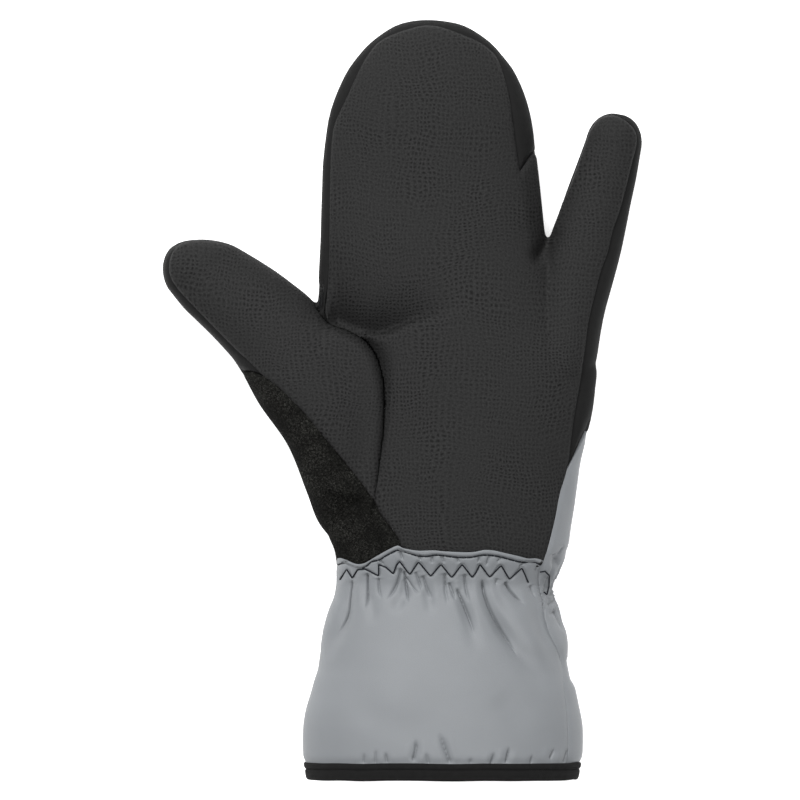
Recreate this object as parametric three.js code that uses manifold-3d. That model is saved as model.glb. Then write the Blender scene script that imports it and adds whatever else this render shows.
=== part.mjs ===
// A padded left-hand winter mitt: a thumb, one broad compartment for three fingers,
// a separate little finger, and a gathered gauntlet cuff with a bound end. It lies on
// its back with the palm up. Every panel is a sewn wall of its own, hollow inside.
// Millimetres. X runs towards the little finger, Y towards the fingertips, Z up.
// Everything is laid out from the middle of the wrist seam, on the surface below it.

import * as THREE from "three";
import { mergeVertices } from "three/addons/utils/BufferGeometryUtils.js";
import Module from "manifold-3d";

const wasm = await Module();
wasm.setup();

// Lengths along Y
const cuffLength = 83.4; // open end to wrist seam
const elasticBelowSeam = 11.3; // wrist seam to the line of the wrist elastic
const palmLength = 115; // wrist seam to the crotch of the little finger
const fingersLength = 82.8; // that crotch to the tip of the broad compartment
const bindingHeight = 6.3;

// Widths and heights
const hemWidth = 103.4;
const hemHeight = 44;
const wristWidth = 81;
const wristHeight = 34;
const palmWidth = 98;
const palmHeight = 38;
const fingersWidth = 82.8;
const fingersHeight = 35;
const fingersTipHeight = 9; // height of the tip's seam above the surface

const littleWidth = 23;
const littleHeight = 23;
const littleLength = 105; // root inside the palm to the tip
const littleAngle = 13.6; // degrees from Y towards +X
const littleTipHeight = 13;

const thumbWidth = 28;
const thumbHeight = 28;
const thumbLength = 125; // root inside the palm to the tip
const thumbAngle = 32.6; // degrees from Y towards -X
const thumbTipHeight = 17;

// Walls and gaps
const padWall = 2.4; // quilted hand panels
const cuffWall = 1.6; // unpadded gauntlet
const bindingWall = 2.6; // bias tape folded over the gauntlet's end
const seamGap = 0.3; // between two panels where they are sewn together

// Gathers under the wrist elastic
const gatherCount = 18;
const gatherDepth = 1.5;
const gatherReach = 42; // how far the longest gather runs down the cuff
const shortestGather = 0.3; // share of that reach
const gatherTurn = 2.4; // spreads long and short gathers round the cuff, in radians

// The palm bulges below the root of the fingers and drops into a crease there
const creaseDepth = 4;
const creaseStep = 4; // half the length of the drop
const creaseFade = 26; // length over which the fingers rise again

// Shape of a section: 1 is an ellipse, and less is boxier
const sideShare = 0.45; // height of the widest place
const seamShare = 0.38; // height of the side seams, just under the widest place
const upperRound = 0.9;
const lowerRound = 0.78;
const flatness = 1.12; // over 1 the underside is pressed flat on the surface
const capRound = 2.4; // 2 makes a tip an ellipse seen from the side, and more is blunter

// Facets
const gatherSides = 4 * gatherCount;
const handSides = gatherSides / 2; // rings of both kinds are joined one to two
const limbSides = 16;
const bindingSides = 40;
const capRings = 4;

const { lerp, clamp, smoothstep, degToRad } = THREE.MathUtils;

// Smooth value of one column of a table at a place along it
function column(rows, key, at) {
  let i = 0;
  while (i < rows.length - 2 && at > rows[i + 1].at) i++;
  const before = rows[Math.max(i - 1, 0)];
  const a = rows[i];
  const b = rows[i + 1];
  const after = rows[Math.min(i + 2, rows.length - 1)];
  const span = b.at - a.at;
  const u = clamp((at - a.at) / span, 0, 1);
  const slopeA = ((b[key] - before[key]) / (b.at - before.at)) * span;
  const slopeB = ((after[key] - a[key]) / (after.at - a.at)) * span;
  const u2 = u * u;
  const u3 = u2 * u;
  return (
    a[key] * (2 * u3 - 3 * u2 + 1) +
    b[key] * (3 * u2 - 2 * u3) +
    slopeA * (u3 - 2 * u2 + u) +
    slopeB * (u3 - u2)
  );
}

// Cuff from its open end up to the elastic. at: share of that length. flare: 0 is
// the wrist's width and height, 1 the hem's. shift: middle of the cuff off the
// wrist's, as a share of the hem's width.
const cuffRows = [
  { at: 0, flare: 0.94, shift: -0.009 },
  { at: 0.14, flare: 0.99, shift: -0.006 },
  { at: 0.27, flare: 0.99, shift: -0.006 },
  { at: 0.38, flare: 0.87, shift: -0.005 },
  { at: 0.51, flare: 0.67, shift: -0.002 },
  { at: 0.63, flare: 0.48, shift: -0.004 },
  { at: 0.75, flare: 0.4, shift: 0 },
  { at: 0.87, flare: 0.18, shift: 0 },
  { at: 0.94, flare: 0.03, shift: 0 },
  { at: 1, flare: 0, shift: 0 },
];

// Palm from the wrist seam to the little finger's crotch. at: share of the palm's
// length. left and right: shares of its width. top: share of its height.
const palmRows = [
  { at: -0.04, left: 0.416, right: 0.448, top: 0.94 },
  { at: 0.02, left: 0.42, right: 0.468, top: 0.97 },
  { at: 0.134, left: 0.462, right: 0.491, top: 0.99 },
  { at: 0.287, left: 0.452, right: 0.511, top: 1 },
  { at: 0.37, left: 0.45, right: 0.536, top: 1 },
  { at: 0.443, left: 0.452, right: 0.556, top: 1 },
  { at: 0.53, left: 0.458, right: 0.568, top: 1 },
  { at: 0.61, left: 0.466, right: 0.57, top: 0.99 },
  { at: 0.751, left: 0.475, right: 0.49, top: 0.96 },
  { at: 0.887, left: 0.475, right: 0.43, top: 0.93 },
];

// Broad compartment from the crotch to where its round tip starts. at: share of its
// length. left and right: shares of its width. lift: clear of the surface, in shares
// of its height, because the fingers curl up a little.
const fingerRows = [
  { at: 0.03, left: 0.554, right: 0.452, top: 0.98, lift: 0 },
  { at: 0.245, left: 0.549, right: 0.432, top: 0.95, lift: 0 },
  { at: 0.44, left: 0.534, right: 0.406, top: 0.9, lift: 0.03 },
];
const fingersCapStart = 0.44;

// Thumb and little finger, from the root inside the palm to the start of the round
// tip. at: share of its length. aside: how far its middle line bows towards +X, as a
// share of its length. half: half width, share of its width. top and base: heights,
// shares of its height.
const thumbRows = [
  { at: 0, aside: 0, half: 0.25, top: 0.86, base: 0.2 },
  { at: 0.08, aside: 0.032, half: 0.43, top: 1.12, base: 0.06 },
  { at: 0.165, aside: 0.07, half: 0.535, top: 1.36, base: 0.03 },
  { at: 0.318, aside: 0.127, half: 0.655, top: 1.46, base: 0.06 },
  { at: 0.463, aside: 0.131, half: 0.68, top: 1.44, base: 0.1 },
  { at: 0.652, aside: 0.124, half: 0.635, top: 1.3, base: 0.13 },
  { at: 0.865, aside: 0.045, half: 0.505, top: 1.12, base: 0.15 },
];
const thumbCapStart = 0.885;
const thumbTipAside = 0.006;

const littleRows = [
  { at: 0, aside: 0, half: 0.46, top: 1.3, base: 0.12 },
  { at: 0.1, aside: -0.001, half: 0.57, top: 1.42, base: 0.03 },
  { at: 0.25, aside: -0.002, half: 0.575, top: 1.36, base: 0.02 },
  { at: 0.43, aside: -0.004, half: 0.575, top: 1.24, base: 0.03 },
  { at: 0.62, aside: -0.004, half: 0.54, top: 1.13, base: 0.06 },
  { at: 0.74, aside: -0.002, half: 0.51, top: 1.07, base: 0.1 },
  { at: 0.86, aside: 0, half: 0.465, top: 1.0, base: 0.15 },
];
const littleCapStart = 0.885;

// The main sleeve's stations in millimetres, from the open end to the round tip
const sleeveRows = [
  ...cuffRows.map(({ at, flare, shift }) => {
    const half = lerp(wristWidth, hemWidth, flare) / 2;
    return {
      at: lerp(-cuffLength, -elasticBelowSeam, at),
      left: half - shift * hemWidth,
      right: half + shift * hemWidth,
      top: lerp(wristHeight, hemHeight, flare),
      lift: 0,
    };
  }),
  ...palmRows.map(({ at, left, right, top }) => ({
    at: at * palmLength,
    left: left * palmWidth,
    right: right * palmWidth,
    top: top * palmHeight,
    lift: 0,
  })),
  ...fingerRows.map(({ at, left, right, top, lift }) => ({
    at: palmLength + at * fingersLength,
    left: left * fingersWidth,
    right: right * fingersWidth,
    top: top * fingersHeight,
    lift: lift * fingersHeight,
  })),
];
const capStart = palmLength + fingersCapStart * fingersLength;
const tipY = palmLength + fingersLength;

function sleeveAt(y) {
  const [left, right, top, lift] = ["left", "right", "top", "lift"].map((key) => column(sleeveRows, key, y));
  const base = Math.max(0, lift);
  return { left, right, middle: (right - left) / 2, half: (right + left) / 2, top, base };
}

// Wall thickness along the sleeve: the gauntlet is thinner than the hand
function wallAt(y) {
  return lerp(cuffWall, padWall, smoothstep(y, -elasticBelowSeam / 2, elasticBelowSeam));
}

// The crease starts at the thumb's crotch and dies out towards the middle of the palm,
// running up a little. Shares of the palm's width and length.
const creaseLeft = -0.4;
const creaseRight = 0.02;
const creaseLow = 0.66;
const creaseHigh = 0.79;
const creaseFadeFrom = -0.12;
const creaseFadeTo = 0.12;
function creaseAt(x, y) {
  const across = clamp((x / palmWidth - creaseLeft) / (creaseRight - creaseLeft), 0, 1);
  const past = y - lerp(creaseLow, creaseHigh, across) * palmLength;
  const drop = smoothstep(past, -creaseStep, creaseStep);
  const rise = 1 - smoothstep(past, creaseStep, creaseStep + creaseFade);
  return creaseDepth * drop * rise * (1 - smoothstep(x / palmWidth, creaseFadeFrom, creaseFadeTo));
}

// Depth of the gathers: round crests with valleys between, deepest at the elastic,
// and every valley dies out at its own distance below it
function gatherAt(turn, y) {
  const valley = Math.round(turn * gatherCount);
  const own = lerp(shortestGather, 1, (1 + Math.sin(valley * gatherTurn)) / 2);
  const below = -elasticBelowSeam - y;
  const fade =
    below < 0 ? 1 - smoothstep(-below, 0, elasticBelowSeam) : 1 - smoothstep(below, 0, own * gatherReach);
  const wave = (1 + Math.cos(2 * Math.PI * gatherCount * turn)) / 2;
  return gatherDepth * fade * wave;
}

// One point of a rounded section around a middle line. turn goes once round from 0
// to 1, starting at +X. It gives the distance across and the height.
function sectionPoint(turn, { half, top, base }, inset, dent = 0) {
  const angle = 2 * Math.PI * turn;
  const c = Math.cos(angle);
  const s = Math.sin(angle);
  const side = lerp(base, top, sideShare);
  const round = s >= 0 ? upperRound : lowerRound;
  const across = Math.sign(c) * Math.abs(c) ** round * (half - inset) - dent * c;
  const height =
    s >= 0
      ? side + (top - side - inset) * s ** upperRound - dent * s
      : side - ((side - base) * flatness - inset) * (-s) ** lowerRound - dent * s;
  return { across, height: Math.max(height, base + inset) };
}

// Half width and heights of a round tip, u from 0 at its start to 1 at its end
function capShape(u, start, tipHeight) {
  const keep = Math.max(0, 1 - u ** capRound) ** (1 / capRound);
  return {
    half: start.half * Math.sqrt(Math.max(0, 1 - u * u)),
    top: lerp(tipHeight, start.top, keep),
    base: lerp(tipHeight, start.base, keep),
  };
}
const capShares = Array.from({ length: capRings }, (_, i) =>
  Math.sin(((i + 0.9) / (capRings + 0.25)) * (Math.PI / 2)),
);
const tipWallShare = 0.3; // the walls meet at a tip, so there each takes this share of the height

// Rings of the main sleeve, of its outside or of the hollow inside it. runOut: how
// far the first ring is moved out of the open end.
function sleeveRings(places, inside, runOut = 0) {
  const rings = places.map((y) => {
    const shape = sleeveAt(y);
    const wall = inside ? wallAt(y) : 0;
    const gathered = Math.abs(y + elasticBelowSeam) < gatherReach && y < elasticBelowSeam / 2;
    const sides = gathered ? gatherSides : handSides;
    return Array.from({ length: sides }, (_, i) => {
      const turn = i / sides;
      const { across, height } = sectionPoint(turn, shape, wall, gatherAt(turn, y));
      const x = shape.middle + across;
      const dent = creaseAt(x, y) * Math.max(0, Math.sin(2 * Math.PI * turn));
      return new THREE.Vector3(x, y - runOut * (y === places[0]), height - dent);
    });
  });
  const start = sleeveAt(capStart);
  const reach = tipY - capStart - (inside ? padWall : 0);
  for (const u of capShares) {
    const shape = capShape(u, start, fingersTipHeight);
    const wall = inside ? Math.min(padWall, (shape.top - shape.base) * tipWallShare) : 0;
    rings.push(
      Array.from({ length: handSides }, (_, i) => {
        const { across, height } = sectionPoint(i / handSides, shape, wall);
        return new THREE.Vector3(start.middle + across, capStart + u * reach, height);
      }),
    );
  }
  return rings;
}

// A thumb or finger: a tube along a bowed middle line with a round tip
function limb({ rows, length, width, height, root, angle, capAt, tipHeight, tipAside = 0 }) {
  const a = degToRad(angle);
  const along = new THREE.Vector2(Math.sin(a), Math.cos(a));
  const right = new THREE.Vector2(Math.cos(a), -Math.sin(a));
  const bow = (t) => {
    const past = Math.max(0, t - capAt) / (1 - capAt);
    return lerp(column(rows, "aside", Math.min(t, capAt)), tipAside, past);
  };
  const place = (t) =>
    root.clone().addScaledVector(along, t * length).addScaledVector(right, bow(t) * length);
  const across = (t) => {
    const step = 0.01;
    const way = place(Math.min(t + step, 1)).sub(place(Math.max(t - step, 0))).normalize();
    return new THREE.Vector2(way.y, -way.x);
  };
  const body = (t) => ({
    half: column(rows, "half", t) * width,
    top: column(rows, "top", t) * height,
    base: column(rows, "base", t) * height,
  });
  const shape = (t) => (t <= capAt ? body(t) : capShape((t - capAt) / (1 - capAt), body(capAt), tipHeight));
  // A point on the outline seen from above, side -1 left or 1 right, moved inwards,
  // at the height of the side seam
  const edge = (t, side, inset) => {
    const p = place(t).addScaledVector(across(t), side * (shape(t).half - inset));
    return new THREE.Vector3(p.x, p.y, lerp(shape(t).base, shape(t).top, seamShare));
  };
  const rings = (wall) => {
    const stations = [...rows.map((row) => row.at), ...capShares.map((u) => lerp(capAt, 1, u))];
    return stations.map((t) => {
      const s = shape(t);
      const past = Math.max(0, t - capAt) / (1 - capAt);
      const inset = past ? Math.min(wall, (s.top - s.base) * tipWallShare) : wall;
      const middle = place(t).addScaledVector(along, -past * wall);
      const n = across(t);
      return Array.from({ length: limbSides }, (_, i) => {
        const p = sectionPoint(i / limbSides, s, inset);
        return new THREE.Vector3(middle.x + n.x * p.across, middle.y + n.y * p.across, p.height);
      });
    });
  };
  return { edge, rings };
}

// Roots inside the palm, as shares of its width and length
const thumbRoot = { x: -0.35, y: 0.07 };
const littleRoot = { x: 0.41, y: 0.53 };

const thumb = limb({
  rows: thumbRows,
  length: thumbLength,
  width: thumbWidth,
  height: thumbHeight,
  root: new THREE.Vector2(thumbRoot.x * palmWidth, thumbRoot.y * palmLength),
  angle: -thumbAngle,
  capAt: thumbCapStart,
  tipHeight: thumbTipHeight,
  tipAside: thumbTipAside,
});
const little = limb({
  rows: littleRows,
  length: littleLength,
  width: littleWidth,
  height: littleHeight,
  root: new THREE.Vector2(littleRoot.x * palmWidth, littleRoot.y * palmLength),
  angle: littleAngle,
  capAt: littleCapStart,
  tipHeight: littleTipHeight,
});

// Points and faces as a solid, with the faces turned outwards
function solidFrom(points, faces) {
  const cross = new THREE.Vector3();
  const volume = faces.reduce(
    (sum, [a, b, c]) => sum + points[a].dot(cross.crossVectors(points[b], points[c])),
    0,
  );
  const outwards = volume < 0 ? faces.map(([a, b, c]) => [a, c, b]) : faces;
  const mesh = new wasm.Mesh({
    numProp: 3,
    vertProperties: new Float32Array(points.flatMap((v) => [v.x, v.y, v.z])),
    triVerts: new Uint32Array(outwards.flat()),
  });
  return new wasm.Manifold(mesh);
}

// Closed skin over a row of rings, with both ends capped. A ring may have the same
// number of points as the one before, or twice or half as many.
function loft(rings) {
  const points = [];
  const faces = [];
  const starts = rings.map((ring) => points.push(...ring) - ring.length);
  for (let r = 1; r < rings.length; r++) {
    const [a, b] = [rings[r - 1].length, rings[r].length];
    const [p, q] = [starts[r - 1], starts[r]];
    const steps = Math.min(a, b);
    for (let i = 0; i < steps; i++) {
      const j = (i + 1) % steps;
      if (a === b) {
        faces.push([p + i, p + j, q + j], [p + i, q + j, q + i]);
      } else if (a > b) {
        const between = p + 2 * i + 1;
        faces.push([p + 2 * i, between, q + i], [between, p + 2 * j, q + j], [between, q + j, q + i]);
      } else {
        const between = q + 2 * i + 1;
        faces.push([p + i, between, q + 2 * i], [p + j, q + 2 * j, between], [p + i, p + j, between]);
      }
    }
  }
  for (const r of [0, rings.length - 1]) {
    const ring = rings[r];
    const middle = points.length;
    points.push(ring.reduce((sum, v) => sum.add(v), new THREE.Vector3()).divideScalar(ring.length));
    ring.forEach((_, i) => {
      const [u, v] = [starts[r] + i, starts[r] + ((i + 1) % ring.length)];
      faces.push(r === 0 ? [middle, v, u] : [middle, u, v]);
    });
  }
  return solidFrom(points, faces);
}

// A block over an outline, from the outline's own heights up or down to a level. Its
// corners can be moved, and its facets then stay the same ones.
function block(outline, level, moved = outline) {
  const shape = new THREE.Shape(outline.map((p) => new THREE.Vector2(p.x, p.y)));
  const geometry = new THREE.ExtrudeGeometry(shape, { depth: 1, bevelEnabled: false });
  geometry.deleteAttribute("normal");
  geometry.deleteAttribute("uv");
  const merged = mergeVertices(geometry, seamGap / 1000);
  const position = merged.attributes.position;
  const points = Array.from({ length: position.count }, (_, i) => {
    const v = new THREE.Vector3().fromBufferAttribute(position, i);
    const away = outline.map((p) => Math.hypot(p.x - v.x, p.y - v.y));
    const corner = moved[away.indexOf(Math.min(...away))].clone();
    const isOwn = v.z < 0.5 === level > corner.z;
    return isOwn ? corner : corner.setZ(level);
  });
  const index = Array.from(merged.index.array);
  const faces = Array.from({ length: index.length / 3 }, (_, i) => index.slice(3 * i, 3 * i + 3));
  return solidFrom(points, faces);
}

// An outline moved outwards by a distance, corner by corner
function grow(outline, distance) {
  const turning = THREE.ShapeUtils.area(outline) > 0 ? 1 : -1;
  const sharpest = 0.4;
  return outline.map((p, i) => {
    const before = outline[(i + outline.length - 1) % outline.length];
    const after = outline[(i + 1) % outline.length];
    const n1 = new THREE.Vector2(p.y - before.y, before.x - p.x).normalize();
    const n2 = new THREE.Vector2(after.y - p.y, p.x - after.x).normalize();
    const corner = n1.add(n2);
    const push = (turning * distance) / Math.max(corner.lengthSq() / 2, sharpest);
    return new THREE.Vector3(p.x + push * corner.x, p.y + push * corner.y, p.z);
  });
}

// Places of the sleeve's rings: close together where the cuff gathers and where the
// palm drops into its crease
const cuffPlaces = [0.17, 0.35, 0.43, 0.56, 0.68, 0.78, 0.865, 0.93];
const palmPlaces = [0, 0.14, 0.3, 0.42, 0.53, 0.63, 0.685, 0.74, 0.82, 0.91];
const fingerPlaces = [0.03, 0.24, fingersCapStart];
const cuffTop = -cuffLength + bindingHeight + seamGap;
const sleevePlaces = [
  cuffTop,
  ...cuffPlaces.map((share) => lerp(-cuffLength, 0, share)),
  ...palmPlaces.map((share) => share * palmLength),
  ...fingerPlaces.map((share) => palmLength + share * fingersLength),
];

const outside = loft(sleeveRings(sleevePlaces, false))
  .add(loft(thumb.rings(0)))
  .add(loft(little.rings(0)));
const inside = loft(sleeveRings(sleevePlaces, true, bindingHeight))
  .add(loft(thumb.rings(padWall)))
  .add(loft(little.rings(padWall)));
const shell = outside.subtract(inside);

// Points on the mitt's outline seen from above, moved inwards, at the side seam's height
function sleeveEdge(y, side, inset) {
  const { left, right, top, base } = sleeveAt(y);
  const x = side > 0 ? right - inset : -left + inset;
  return new THREE.Vector3(x, y, lerp(base, top, seamShare));
}
// The same on the round tip, u from 0 at its start to 1 at its end
function tipEdge(u, side, inset) {
  const start = sleeveAt(capStart);
  const reach = tipY - capStart;
  const { half, top, base } = capShape(u, start, fingersTipHeight);
  const normal = new THREE.Vector2((side * half) / start.half * reach, u * start.half).normalize();
  return new THREE.Vector3(
    start.middle + side * half - inset * normal.x,
    capStart + u * reach - inset * normal.y,
    lerp(base, top, seamShare),
  );
}

// A point of a seam on the palm side: across and rise are shares of a width and a
// length from the middle of the wrist seam
function seamPoint({ across, rise }, width, length) {
  const y = rise * length;
  const { top, base } = sleeveAt(y);
  return new THREE.Vector3(across * width, y, lerp(base, top, seamShare));
}

const beyond = 4; // how far a cutting outline runs past the mitt's own
const strip = 0.8; // back fabric that shows all along the front panels' edges
const roundTip = (member, capAt, side, inset) =>
  capShares.map((u) => member.edge(lerp(capAt, 1, u), side, inset));

// Seams. inset: how far a front panel stops short of the outline, as a share of the
// palm's width, the compartment's, the thumb's or the little finger's, where the back
// panels wrap round to the front.
const palmRightSeam = [
  { at: 0, inset: 0.072 },
  { at: 0.15, inset: 0.064 },
  { at: 0.265, inset: 0.042 },
  { at: 0.36, inset: 0.052 },
  { at: 0.44, inset: 0.061 },
];
const littleRightSeam = [
  { at: 0.13, inset: 0.22 },
  { at: 0.3, inset: 0.2 },
  { at: 0.5, inset: 0.15 },
  { at: 0.7, inset: 0.1 },
  { at: 0.86, inset: 0.06 },
];
const tipSeam = [
  { u: 0, right: 0.079, left: 0.024 },
  { u: capShares[0], right: 0.074, left: 0.026 },
  { u: capShares[1], right: 0.045, left: 0.03 },
  { u: capShares[2], right: 0.024, left: 0.026 },
  { u: capShares[3], right: 0.024, left: 0.02 },
];
const fingersLeftSeam = [
  { at: 0.24, inset: 0.03 },
  { at: 0.03, inset: 0.034 },
  { at: -0.15, inset: 0.037 },
];
const thumbOuterSeam = [
  { at: 0.865, inset: 0.055 },
  { at: 0.76, inset: 0.07 },
  { at: 0.65, inset: 0.085 },
  { at: 0.57, inset: 0.12 },
  { at: 0.48, inset: 0.26 },
  { at: 0.38, inset: 0.41 },
  { at: 0.28, inset: 0.57 },
];
// The thumb is set into the palm along this seam, from the wrist up to its crotch
const thumbInnerSeam = [
  { across: -0.264, rise: 0.176 },
  { across: -0.246, rise: 0.28 },
  { across: -0.226, rise: 0.42 },
  { across: -0.225, rise: 0.53 },
  { across: -0.24, rise: 0.605 },
  { across: -0.27, rise: 0.66 },
  { across: -0.32, rise: 0.7 },
  { across: -0.38, rise: 0.725 },
  { across: -0.435, rise: 0.745 },
].map((row) => seamPoint(row, palmWidth, palmLength));
// The cuff's front ends in this edge. rise: share of the elastic's distance below it.
const wristSeam = [
  { across: -0.62, rise: -0.3 },
  { across: -0.49, rise: -0.35 },
  { across: -0.4, rise: -0.42 },
  { across: -0.3, rise: -0.12 },
  { across: -0.21, rise: 0.3 },
  { across: -0.09, rise: 0.14 },
  { across: 0.1, rise: 0.1 },
  { across: 0.3, rise: 0.05 },
  { across: 0.43, rise: -0.1 },
].map((row) => seamPoint(row, wristWidth, elasticBelowSeam));
const fleeceCorner = 4; // the point of that edge where palm, fleece and cuff meet

// Between the compartment and the little finger the palm panel covers the side walls.
// out: how far its outline runs past the compartment's.
const betweenFingers = [
  { at: 0.01, out: strip },
  { at: 0.2, out: beyond / 2 },
  { at: 0.43, out: beyond / 2 },
];
const littleInnerPlaces = [0.86, 0.74, 0.64];
const palmOutline = [
  ...wristSeam.slice(fleeceCorner),
  ...palmRightSeam.map(({ at, inset }) => sleeveEdge(at * palmLength - seamGap, 1, inset * palmWidth)),
  ...littleRightSeam.map(({ at, inset }) => little.edge(at, 1, inset * littleWidth)),
  ...roundTip(little, littleCapStart, 1, 1.5 * strip),
  ...roundTip(little, littleCapStart, -1, strip).reverse(),
  ...littleInnerPlaces.map((at) => little.edge(at, -1, strip)),
  ...betweenFingers.map(({ at, out }) => sleeveEdge(palmLength + at * fingersLength, 1, -out)),
  ...tipSeam.map(({ u, right }) => tipEdge(u, 1, right * fingersWidth)),
  ...[...tipSeam].reverse().map(({ u, left }) => tipEdge(u, -1, left * fingersWidth)),
  ...fingersLeftSeam.map(({ at, inset }) =>
    sleeveEdge(palmLength + at * fingersLength, -1, inset * fingersWidth),
  ),
  ...[...thumbInnerSeam].reverse(),
];

const thumbCrotch = 0.79; // share of the palm's length
const thumbInnerPlaces = [0.7, 0.78, 0.865];
const thumbOutline = [
  ...thumbInnerSeam,
  sleeveEdge(thumbCrotch * palmLength, -1, strip),
  ...thumbInnerPlaces.map((at) => thumb.edge(at, 1, strip)),
  ...roundTip(thumb, thumbCapStart, 1, strip),
  ...roundTip(thumb, thumbCapStart, -1, 1.5 * strip).reverse(),
  ...thumbOuterSeam.map(({ at, inset }) => thumb.edge(at, -1, inset * thumbWidth)),
];

// The fleece covers the outside of the thumb below this place and runs round to the
// back of the hand, down to the wrist
const fleeceTop = { left: 0.55, middle: 0.5, right: 0.46 };
const fleeceFoot = 0.2;
const fleeceBackRows = [
  { across: -0.3, rise: 0.44 },
  { across: -0.27, rise: 0.25 },
];
const fleeceOutline = [
  thumb.edge(fleeceTop.left, -1, -beyond),
  thumb.edge(fleeceTop.middle, -1, thumbWidth / 2),
  thumb.edge(fleeceTop.right, 1, beyond),
  ...fleeceBackRows.map((row) => seamPoint(row, palmWidth, palmLength)),
  ...wristSeam.slice(0, fleeceCorner + 1).reverse(),
  thumb.edge(fleeceFoot, -1, -3 * beyond),
].map((p) => p.clone().setZ(-beyond));

// The front of the gauntlet, from the wrist seam down, with its right side seam
// inside the outline
const cuffSeamInset = 5;
const cuffSidePlaces = [0.14, 0.35, 0.6, 0.85]; // shares of the cuff's length
const hemCorner = (side, inset) => sleeveEdge(-cuffLength, side, inset).setY(-cuffLength - beyond);
const beside = (share, side, out) => sleeveEdge(-share * cuffLength, side, -out);
const cuffFrontOutline = [
  ...wristSeam,
  beside(cuffSidePlaces[0] / 5, 1, -palmRightSeam[0].inset * palmWidth),
  ...cuffSidePlaces.map((share) => beside(share, 1, -cuffSeamInset)),
  hemCorner(1, cuffSeamInset),
  hemCorner(-1, -beyond),
  beside(0.6, -1, 3 * beyond),
];

// The back of the gauntlet rises over the back of the hand to a curved edge, and
// shows as a strip beside the palm
const yokeRows = [
  { across: 0.38, rise: 0.44 },
  { across: 0.23, rise: 0.51 },
  { across: 0.05, rise: 0.54 },
  { across: -0.13, rise: 0.51 },
  { across: -0.3, rise: 0.425 },
  { across: -0.39, rise: 0.36 },
].map((row) => seamPoint(row, palmWidth, palmLength));
const yokeRight = 0.385; // where it meets the mitt's right outline, share of the palm
const stripTop = 0.25; // where the strip's upper edge meets the palm panel
const cuffBackRight = [
  hemCorner(1, -beyond),
  beside(0.5, 1, 3 * beyond),
  sleeveEdge(yokeRight * palmLength, 1, -beyond),
];
const cuffBackLower = [...cuffBackRight, ...yokeRows, beside(0.6, -1, 4 * beyond), hemCorner(-1, -beyond)];
const cuffBackUpper = [
  ...cuffBackRight,
  sleeveEdge(stripTop * palmLength, 1, 2 * beyond),
  sleeveEdge((stripTop / 2) * palmLength, 1, 3 * beyond),
  beside(0.7, 1, -4 * beyond),
  hemCorner(1, 4 * beyond),
];

// Panels are cut from the shell one after another, each clear of those before it, and
// what is left is the back panel. Each cut is a block that stands on its outline up
// to the ceiling, or hangs from it down to the floor.
const ceiling = 2 * Math.max(palmHeight, hemHeight, thumbHeight);
const floor = -2 * beyond;
const panelCuts = {
  palm_panel: [[palmOutline, ceiling]],
  thumb_palm: [[thumbOutline, ceiling]],
  cuff_front: [[cuffFrontOutline, ceiling]],
  thumb_fleece: [[fleeceOutline, ceiling]],
  cuff_back: [
    [cuffBackLower, floor],
    [cuffBackUpper, ceiling],
  ],
};

function cutPanels() {
  const panels = {};
  let rest = shell;
  for (const [name, cuts] of Object.entries(panelCuts)) {
    const cutter = (extra) =>
      cuts
        .map(([outline, level]) => {
          const lower = 2 * extra * Math.sign(level);
          return block(outline, level, grow(outline, extra).map((p) => p.setZ(p.z - lower)));
        })
        .reduce((all, next) => all.add(next));
    panels[name] = rest.intersect(cutter(0));
    rest = rest.subtract(cutter(seamGap));
  }
  return { ...panels, back_panel: rest };
}

// The binding closes the open end: folded tape with a stitched groove. at: share of
// its height from the end. in: how far it lies inside the cuff's own line, as a share
// of its wall.
const bindingRows = [
  { at: 0, in: 0.3 },
  { at: 0.15, in: 0 },
  { at: 0.55, in: 0 },
  { at: 0.66, in: 0.22 },
  { at: 0.77, in: 0 },
  { at: 1, in: 0.04 },
];
function bindingSolid() {
  const ring = (share, inset) => {
    const y = -cuffLength + share * bindingHeight;
    const shape = sleeveAt(Math.max(y, -cuffLength));
    return Array.from({ length: bindingSides }, (_, i) => {
      const { across, height } = sectionPoint(i / bindingSides, shape, inset);
      return new THREE.Vector3(shape.middle + across, y, height);
    });
  };
  const tape = loft(bindingRows.map((row) => ring(row.at, row.in * bindingWall)));
  const mouth = loft([-1, 2].map((share) => ring(share, bindingWall))); // runs out at both ends
  return tape.subtract(mouth);
}

// A solid's own surface. Crumbs thinner than a seam, which a cut can leave beside a
// panel, are dropped: only the largest body stays.
function geometryOf(solid) {
  const mesh = solid.getMesh();
  const at = (i) => Array.from(mesh.vertProperties.subarray(i * mesh.numProp, i * mesh.numProp + 3));
  const positions = new Float32Array(Array.from({ length: mesh.numVert }, (_, i) => at(i)).flat());
  const joined = new THREE.BufferGeometry();
  joined.setAttribute("position", new THREE.BufferAttribute(positions, 3));
  const body = Array.from({ length: mesh.numVert }, (_, i) => i);
  const bodyOf = (i) => {
    while (body[i] !== i) i = body[i] = body[body[i]];
    return i;
  };
  const triangles = Array.from({ length: mesh.numTri }, (_, i) => mesh.triVerts.slice(3 * i, 3 * i + 3));
  for (const [a, b, c] of triangles) {
    body[bodyOf(a)] = bodyOf(b);
    body[bodyOf(b)] = bodyOf(c);
  }
  const counts = new Map();
  for (const [a] of triangles) counts.set(bodyOf(a), (counts.get(bodyOf(a)) ?? 0) + 1);
  const main = [...counts].reduce((best, next) => (next[1] > best[1] ? next : best))[0];
  joined.setIndex(triangles.filter(([a]) => bodyOf(a) === main).flatMap((t) => [...t]));
  const geometry = mergeVertices(joined.toNonIndexed(), 0);
  geometry.computeVertexNormals();
  return geometry;
}

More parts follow.
